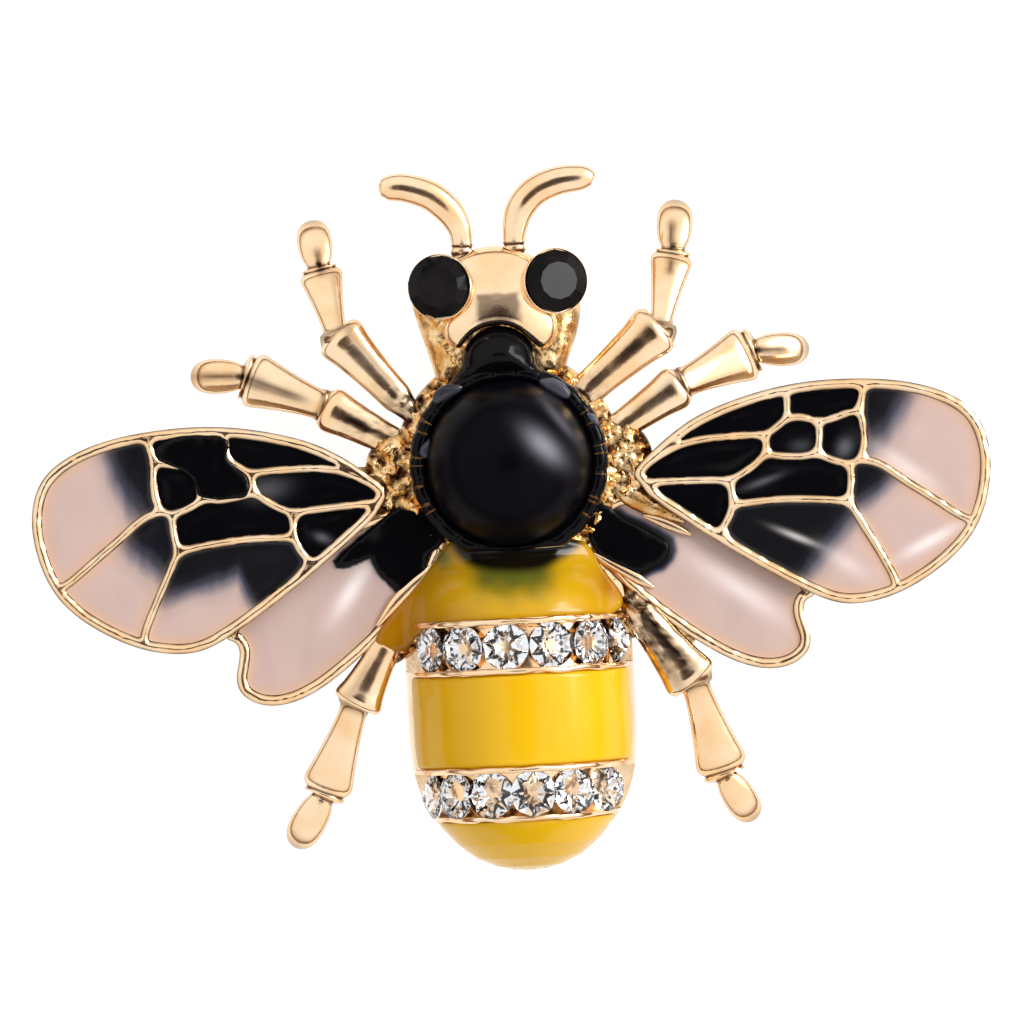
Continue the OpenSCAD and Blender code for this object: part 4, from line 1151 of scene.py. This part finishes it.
# Rims along the shoulder, bars beside the right hindwing's root and a line below the collar
rims = {
    "shoulder_rim_left": {
        "path": [(-4.1, -4.9), (-4.7, -5.5), (-5.3, -6.0), (-6.1, -6.75), (-7.0, -7.8)],
        "wide": 0.6, "z": 4.98,
    },
    "shoulder_rim_right": {
        "path": [(4.0, -4.75), (4.6, -5.15), (5.5, -5.72), (6.2, -6.15), (6.9, -6.6)],
        "wide": 0.5, "z": 4.9, "brown": 0.15,
    },
    "bar_right": {
        "path": [(6.6, -3.0), (7.4, -3.3), (8.2, -3.68), (8.9, -4.05)],
        "wide": 0.55, "z": 5.05, "brown": 0.2,
    },
    "band_right": {
        "path": [(4.9, -1.3), (6.0, -1.95), (7.2, -2.6), (8.6, -3.35)],
        "wide": 1.0, "z": 4.95, "material": goldRough, "brown": 0.25,
    },
    "chord_line": {
        "path": [(-2.5, -4.1), (-1.2, -4.22), (0.1, -4.28), (1.3, -4.3), (2.6, -4.27)],
        "wide": 0.04, "z": 6.86,
    },
}
# Lips beside the stone channels, at places along the abdomen, from one side to the other
lips = {"places": (7.88, 10.34, 15.24, 17.68), "from": 14, "wide": 0.3, "wander": 0.07, "over": 0.02}


def buildRims():
    for name, r in rims.items():
        wire(name, r["path"], r["wide"], r["z"], 0.5, 0.3, r.get("material", gold), r.get("brown", 0))
    for k, y in enumerate(lips["places"]):
        half, high = np.add(smoothSize(y), lips["over"])
        path = []
        for turn in np.linspace(lips["from"], 180 - lips["from"], 30):
            t = math.radians(turn)
            wander = lips["wander"] * noise.noise(Vector((turn * 0.08, k * 5.0, 1)))
            path.append((half * math.cos(t), wander - y, backZ + high * math.sin(t)))
        wire(f"lip_{k}", path, lips["wide"], 0, wobble=0.5)
    print("rims and lips")


buildRims()

# Grey resin pads of painted reflection on the collar, and thin brown ribs across it
collarReflectionPads = [
    [(-3.68, 3.6), (-3.04, 4.1), (-2.0, 4.04), (-2.16, 3.67), (-2.93, 3.33), (-3.55, 2.99)],
    [(1.62, 4.15), (2.52, 4.17), (3.38, 3.38), (3.13, 2.94), (2.47, 3.2), (1.75, 3.69)],
    [(-4.56, 0.94), (-3.62, 1.64), (-3.26, 1.32), (-3.37, 0.58), (-4.29, 0.33)],
    [(3.86, 2.45), (4.52, 2.12), (4.63, 1.51), (4.05, 1.84)],
]


def dressCollar():
    c = collar
    # Painted reflections as grey pads
    for k, outline in enumerate(collarReflectionPads):
        top = c["low"] + c["high"] + 0.1
        resinSpill(f"collar_reflection_pad_{k}", outline, top, c["low"], 0.2, 0.04, material=reflectionResin)
    inner, outer = c["inner"] + 0.12, c["outer"] + 0.02
    for k, angle in enumerate(c["ribs"]):
        t = math.radians(angle)
        path = []
        for share, drop in ((0, 0), (0.3, 0), (0.6, 0), (0.85, 0.125), (1, 0.2)):
            r = inner + (outer - inner) * share
            path.append((r * math.cos(t), r * math.sin(t), c["low"] + c["high"] * (1 - drop)))
        wire(f"collar_rib_{k}", path, c["ribWide"], 0, 0.7, 1.4, goldRough, 0.9)
    print("pads and ribs")


dressCollar()

# Feelers: out in percent of the head's width, share of the rise, share of the thickness
feelers = {
    "headWide": 8.3, "faceReach": 10.75, "rise": 3.95, "thick": 1.48, "rootZ": 2.34, "climb": 0.5,
    "feeler_left": [
        (-17, -30, 50), (-21.5, -8, 74), (-21.5, 10, 72), (-23, 30, 82), (-29, 52, 98), (-39.5, 71, 100),
        (-54, 82, 96), (-64, 83, 84), (-68.5, 82, 54), (-70, 81.5, 14),
    ],
    "feeler_right": [
        (8, -30, 50), (9.8, -8, 74), (10, 10, 74), (11.5, 30, 88), (15.5, 51, 100), (24.5, 70, 100),
        (38, 81, 98), (52, 83.5, 86), (58.5, 83, 54), (60.3, 82, 14),
    ],
    "rings": (9, 13), "ringBrown": 0.9,
}


def buildFeelers():
    f = feelers
    for name in ("feeler_left", "feeler_right"):
        stations = []
        for out, share, thick in f[name]:
            d = f["thick"] * thick / 100
            x, y = out * f["headWide"] / 100, pearl["y"] + f["faceReach"] + share * f["rise"] / 100
            stations.append((x, y, backZ + f["rootZ"] + f["climb"] * share / 100, d, d * 0.92, 0))
        stations = refine(stations, 8)
        for k in f["rings"]:
            stations[k][5] = stations[k + 1][5] = f["ringBrown"]
            stations[k][3:5] *= 0.9
        rod(name, stations, 2, roundSection(28, 0.96, 0.7), sides=0.3)
    print("feelers")


buildFeelers()


# Head: outlines from the pearl's middle, face plate over cheeks
head = {
    "face": [
        (-2.5, 10.3), (-1.6, 10.72), (-0.63, 10.89), (0.12, 10.87), (1.0, 10.72), (1.9, 10.2),
        (1.75, 9.4), (1.55, 8.6), (1.75, 8.05), (2.35, 7.75), (2.75, 7.25), (2.85, 6.6), (2.6, 5.9),
        (1.95, 5.5), (1.3, 6.2), (0.6, 6.8), (-0.25, 6.95), (-1.1, 6.8), (-1.8, 6.3), (-2.2, 5.7),
        (-2.8, 6.1), (-3.0, 6.8), (-2.7, 7.4), (-2.1, 7.9), (-1.95, 8.6), (-2.1, 9.4),
    ],
    "cheeks": [
        (-1.8, 10.3), (-3.4, 9.9), (-4.4, 9.0), (-4.45, 8.2), (-4.28, 7.4), (-3.89, 6.12), (-3.51, 4.75),
        (-3.3, 4.0), (2.9, 4.0), (3.16, 4.9), (3.56, 5.83), (3.86, 6.72), (4.01, 7.71), (3.9, 8.8),
        (3.1, 9.8), (1.2, 10.4),
    ],
    "faceTop": 3.9, "faceLow": 1.4, "cheekTop": 2.6, "ball": (-0.2, 7.0, 7.0), "faceRound": 0.45,
    "patch": (-0.12, 7.75, 1.15, 0.75),  # painted brown reflection, at a place with its half width and half height
    "eyeWall": 0.07, "eyeCupDeep": 1.6,
}


def pillow(name, outline, low, top, edgeRound, material, grain=None, ball=None, patch=None, step=0.12):
    # A sheet over an outline, rounded at its edge, curved like a ball at a place or with a painted brown
    # reflection in a patch; grain is how deep its crinkles are, their scale and how brown they get
    deep, scale, brownest = grain or (0, 1, 0)
    outline = anticlockwise(resample(cutCorners(outline), 0.05))
    sheet = fillSheet(outline, [], step, (0.07, 0.15, 0.26), step * 1.15)
    points, _, edge, _ = sheet
    heights, brown = [], []
    for p, e in zip(points, edge):
        rough = noise.fractal(Vector((p[0] * scale, p[1] * scale, 1)), 0.6, 2.2, 4)
        z = top - float(rounded(e, edgeRound)) + deep * rough
        brownAndReflection = min(1, max(0, brownest * (0.25 - 1.6 * rough)))
        if ball:
            x, y, radius = ball
            z -= radius - math.sqrt(max(1, radius ** 2 - (p[0] - x) ** 2 - (p[1] - y) ** 2))
        # A painted brown reflection in the patch
        if patch:
            x, y, halfX, halfY = patch
            out = max(abs(p[0] - x) / halfX, abs(p[1] - y) / halfY) + 0.14 * ripple(p, 2, 4)
            uneven = 0.7 + 0.3 * noise.noise(Vector((p[0], p[1] * 2, 8)))
            brownAndReflection = min(0.72, 1.25 * smoothStep((1.1 - out) / 0.4) * uneven)
        heights.append(z)
        brown.append(brownAndReflection)
    sheetPiece(name, sheet, heights, low, [material], "gold", ("casting",), 55,
               {"brown": (brown, 0.3 * brownest)}, pearl["y"])


def buildHead():
    h = head
    pillow("face_plate", h["face"], backZ + h["faceLow"], backZ + h["faceTop"], h["faceRound"], gold,
           ball=h["ball"], patch=h["patch"], step=0.08)
    pillow("cheeks", h["cheeks"], backZ, backZ + h["cheekTop"], 0.9, goldRough, (0.14, 1.2, 0.35))
    wall = h["eyeWall"]
    rim = [
        (0.05, -0.5), (wall, -0.2), (wall, -0.1), (wall * 0.8, -0.04), (0.04, -0.04), (0.03, -0.08),
        (0.02, -0.35),
    ]
    for side in sides:
        centre, axis, radius = stonePlace(f"eye_{side}")
        profile = [(radius * 0.55, -h["eyeCupDeep"])] + [(radius + out, z) for out, z in rim]
        verts, faces = turned(profile, 64, centre, axis)
        makePiece(f"eye_cup_{side}", verts, faces, [gold], "gold", ("casting",), 50)
    print("head")


buildHead()

# Neck: a black dome that flares towards the collar, with two dimples
neck = {
    "x": -0.22, "wide": 3.85, "reach": 6.88, "low": 1.6, "drop": 0.85, "below": 1.0,
    "flare": [(-0.25, 4.7), (-0.75, 4.0)], "dimples": [(-1.06, 5.51), (0.74, 5.57)], "dimpleDeep": 0.09,
    "dimpleWide": 0.3,
}


def buildNeck():
    n = neck
    r = n["wide"] / 2
    turns = np.linspace(0, math.pi, 48)
    outline = [(n["x"] + r * math.cos(t), n["reach"] - r + r * math.sin(t)) for t in turns]
    outline += [(n["x"] - r + out, y) for out, y in n["flare"]]
    outline += [(n["x"] + r - out, y) for out, y in n["flare"][::-1]]
    sheet = fillSheet(anticlockwise(resample(outline, 0.08)), [], 0.12, (0.08, 0.18, 0.3, 0.45), 0.2)
    points, _, edge, _ = sheet
    heights = pearl["z"] + r - n["below"] - n["drop"] * rounded(edge, r)
    for dimple in n["dimples"]:
        away = np.sum((points - dimple) ** 2, axis=1)
        heights -= n["dimpleDeep"] * np.exp(-away / n["dimpleWide"] ** 2)
    sheetPiece("neck_dome", sheet, heights, backZ + n["low"], [blackEnamel], "black_enamel",
               ("neck_enamel",), 60, shift=pearl["y"])


buildNeck()

# Thorax: crinkled plate under the collar, the pearl's cup, the wings' roots and two hips
thorax = {
    "plate": (5.7, 1.8), "cup": (4.9, 2.55), "rootHigh": 1.95, "hipHigh": 1.45,
    "root": [(4.2, -2.4), (6.0, -2.2), (7.0, -1.6), (7.3, 0.2), (6.8, 1.3), (5.8, 2.0), (4.2, 2.2)],
    "hips": {
        "left": [
            (-4.5, -6.0), (-6.0, -7.2), (-7.6, -8.6), (-7.3, -9.6), (-6.3, -9.9), (-5.3, -9.2),
            (-4.5, -8.5),
        ],
        "right": [
            (4.5, -5.6), (6.0, -6.4), (7.8, -7.4), (9.2, -8.6), (8.7, -9.8), (7.2, -9.9), (6.2, -9.0),
            (5.2, -9.2), (4.6, -8.6),
        ],
    },
}


def buildThorax():
    t = thorax
    turns = np.linspace(0, 2 * math.pi, 90, endpoint=False)
    plate, cup = [[(r * math.cos(a), r * math.sin(a)) for a in turns] for r, _ in (t["plate"], t["cup"])]
    pillow("thorax_plate", plate, backZ, backZ + t["plate"][1], 0.5, goldRough, (0.3, 1.3, 1.2))
    pillow("pearl_cup", cup, backZ, backZ + t["cup"][1], 0.2, goldRough)
    for sideName, side in sides.items():
        root = [(side * x, y) for x, y in t["root"]][::side]
        pillow(f"wing_root_{sideName}", root, backZ, backZ + t["rootHigh"], 0.5, goldRough, (0.3, 1.4, 1.2))
        hip = t["hips"][sideName]
        pillow(f"hip_{sideName}", hip, backZ, backZ + t["hipHigh"], 0.4, goldRough, (0.25, 1.6, 1.0))
    print("thorax")


buildThorax()


# The pin keeps its shape from the frame
nodes["pin_back"].data.materials.clear()
nodes["pin_back"].data.materials.append(goldBack)


# White table in a light tent: a bright ring of sky with a dim opening overhead and a dark skirting
studio = {
    "tableHalf": 150, "tent": 1.09,
    "table": {
        "Base Color": (0.16, 0.16, 0.16, 1), "Roughness": 0.9, "Emission Color": (1, 1, 1, 1),
        "Emission Strength": 0.93,
    },
    "sky": [
        (0.0, (0.16, 0.065, 0.02)), (0.10, (0.22, 0.10, 0.04)), (0.26, (0.84, 0.80, 0.78)),
        (0.42, (1, 1, 1)), (0.955, (1, 1, 1)), (0.975, (0.13, 0.09, 0.08)), (0.99, (0.06, 0.05, 0.05)),
    ],
    "keyFrom": (0.76, 0.28, 0.55), "keyHalo": 0.7, "keySpread": (0.82, 0.99),
    "dimFrom": (-0.55, -0.65, 0.5), "dimBy": 0.1, "dimSpread": (0.3, 0.95),
}
keySoftbox = {
    "azimuth": 22, "elevation": 33, "roll": 20, "away": 400, "wide": 260, "high": 140, "power": 1.25,
}


def skyDirection(tree, towards, low, high):
    # One where the sky lies in a direction, easing to nought away from it
    coords = addNode(tree, "ShaderNodeTexCoord")
    aim = addNode(tree, "ShaderNodeVectorMath", operation="DOT_PRODUCT")
    aim.inputs[1].default_value = Vector(towards).normalized()
    ease = addNode(tree, "ShaderNodeMapRange", interpolation_type="SMOOTHSTEP")
    ease.inputs["From Min"].default_value = low
    ease.inputs["From Max"].default_value = high
    tree.links.new(coords.outputs["Generated"], aim.inputs[0])
    tree.links.new(aim.outputs["Value"], ease.inputs["Value"])
    return ease.outputs["Result"]


def buildStudio():
    half = studio["tableHalf"] * mm
    mesh = bpy.data.meshes.new("table")
    corners = [(-half, -half, 0), (half, -half, 0), (half, half, 0), (-half, half, 0)]
    mesh.from_pydata(corners, [], [(0, 1, 2, 3)])
    material, _, shader = newMaterial("whiteTable")
    for key, value in studio["table"].items():
        shader.inputs[key].default_value = value
    mesh.materials.append(material)
    table = bpy.data.objects.new("table", mesh)
    scene.collection.objects.link(table)
    world = bpy.data.worlds.new("lightTent")
    scene.world = world
    world.use_nodes = True
    tree = world.node_tree
    background = tree.nodes["Background"]
    coords = addNode(tree, "ShaderNodeTexCoord")
    split = addNode(tree, "ShaderNodeSeparateXYZ")
    tree.links.new(coords.outputs["Generated"], split.inputs[0])
    shade = ramp(tree, split.outputs["Z"], studio["sky"])
    halo = addNode(tree, "ShaderNodeMath", operation="MULTIPLY_ADD")
    halo.inputs[1].default_value = studio["keyHalo"]
    halo.inputs[2].default_value = studio["tent"]
    tree.links.new(skyDirection(tree, studio["keyFrom"], *studio["keySpread"]), halo.inputs[0])
    dim = addNode(tree, "ShaderNodeMath", operation="MULTIPLY_ADD")
    dim.inputs[1].default_value = -studio["dimBy"]
    tree.links.new(skyDirection(tree, studio["dimFrom"], *studio["dimSpread"]), dim.inputs[0])
    tree.links.new(halo.outputs[0], dim.inputs[2])
    tree.links.new(shade, background.inputs["Color"])
    tree.links.new(dim.outputs[0], background.inputs["Strength"])


def makeSoftbox(name, box):
    data = bpy.data.lights.new(name, "AREA")
    data.shape = "RECTANGLE"
    data.size, data.size_y = box["wide"] * mm, box["high"] * mm
    data.energy = box["power"]
    lamp = bpy.data.objects.new(name, data)
    a, e, roll = [math.radians(box[key]) for key in ("azimuth", "elevation", "roll")]
    aim = Vector((0, pearl["y"] * mm, 0.006))
    way = Vector((math.cos(a) * math.cos(e), math.sin(a) * math.cos(e), math.sin(e)))
    lamp.location = aim + way * box["away"] * mm
    turn = (aim - lamp.location).to_track_quat("-Z", "Y").to_matrix().to_4x4()
    lamp.rotation_euler = (turn @ Matrix.Rotation(roll, 4, "Z")).to_euler()
    scene.collection.objects.link(lamp)


buildStudio()
makeSoftbox("keySoftbox", keySoftbox)
print("studio lit")
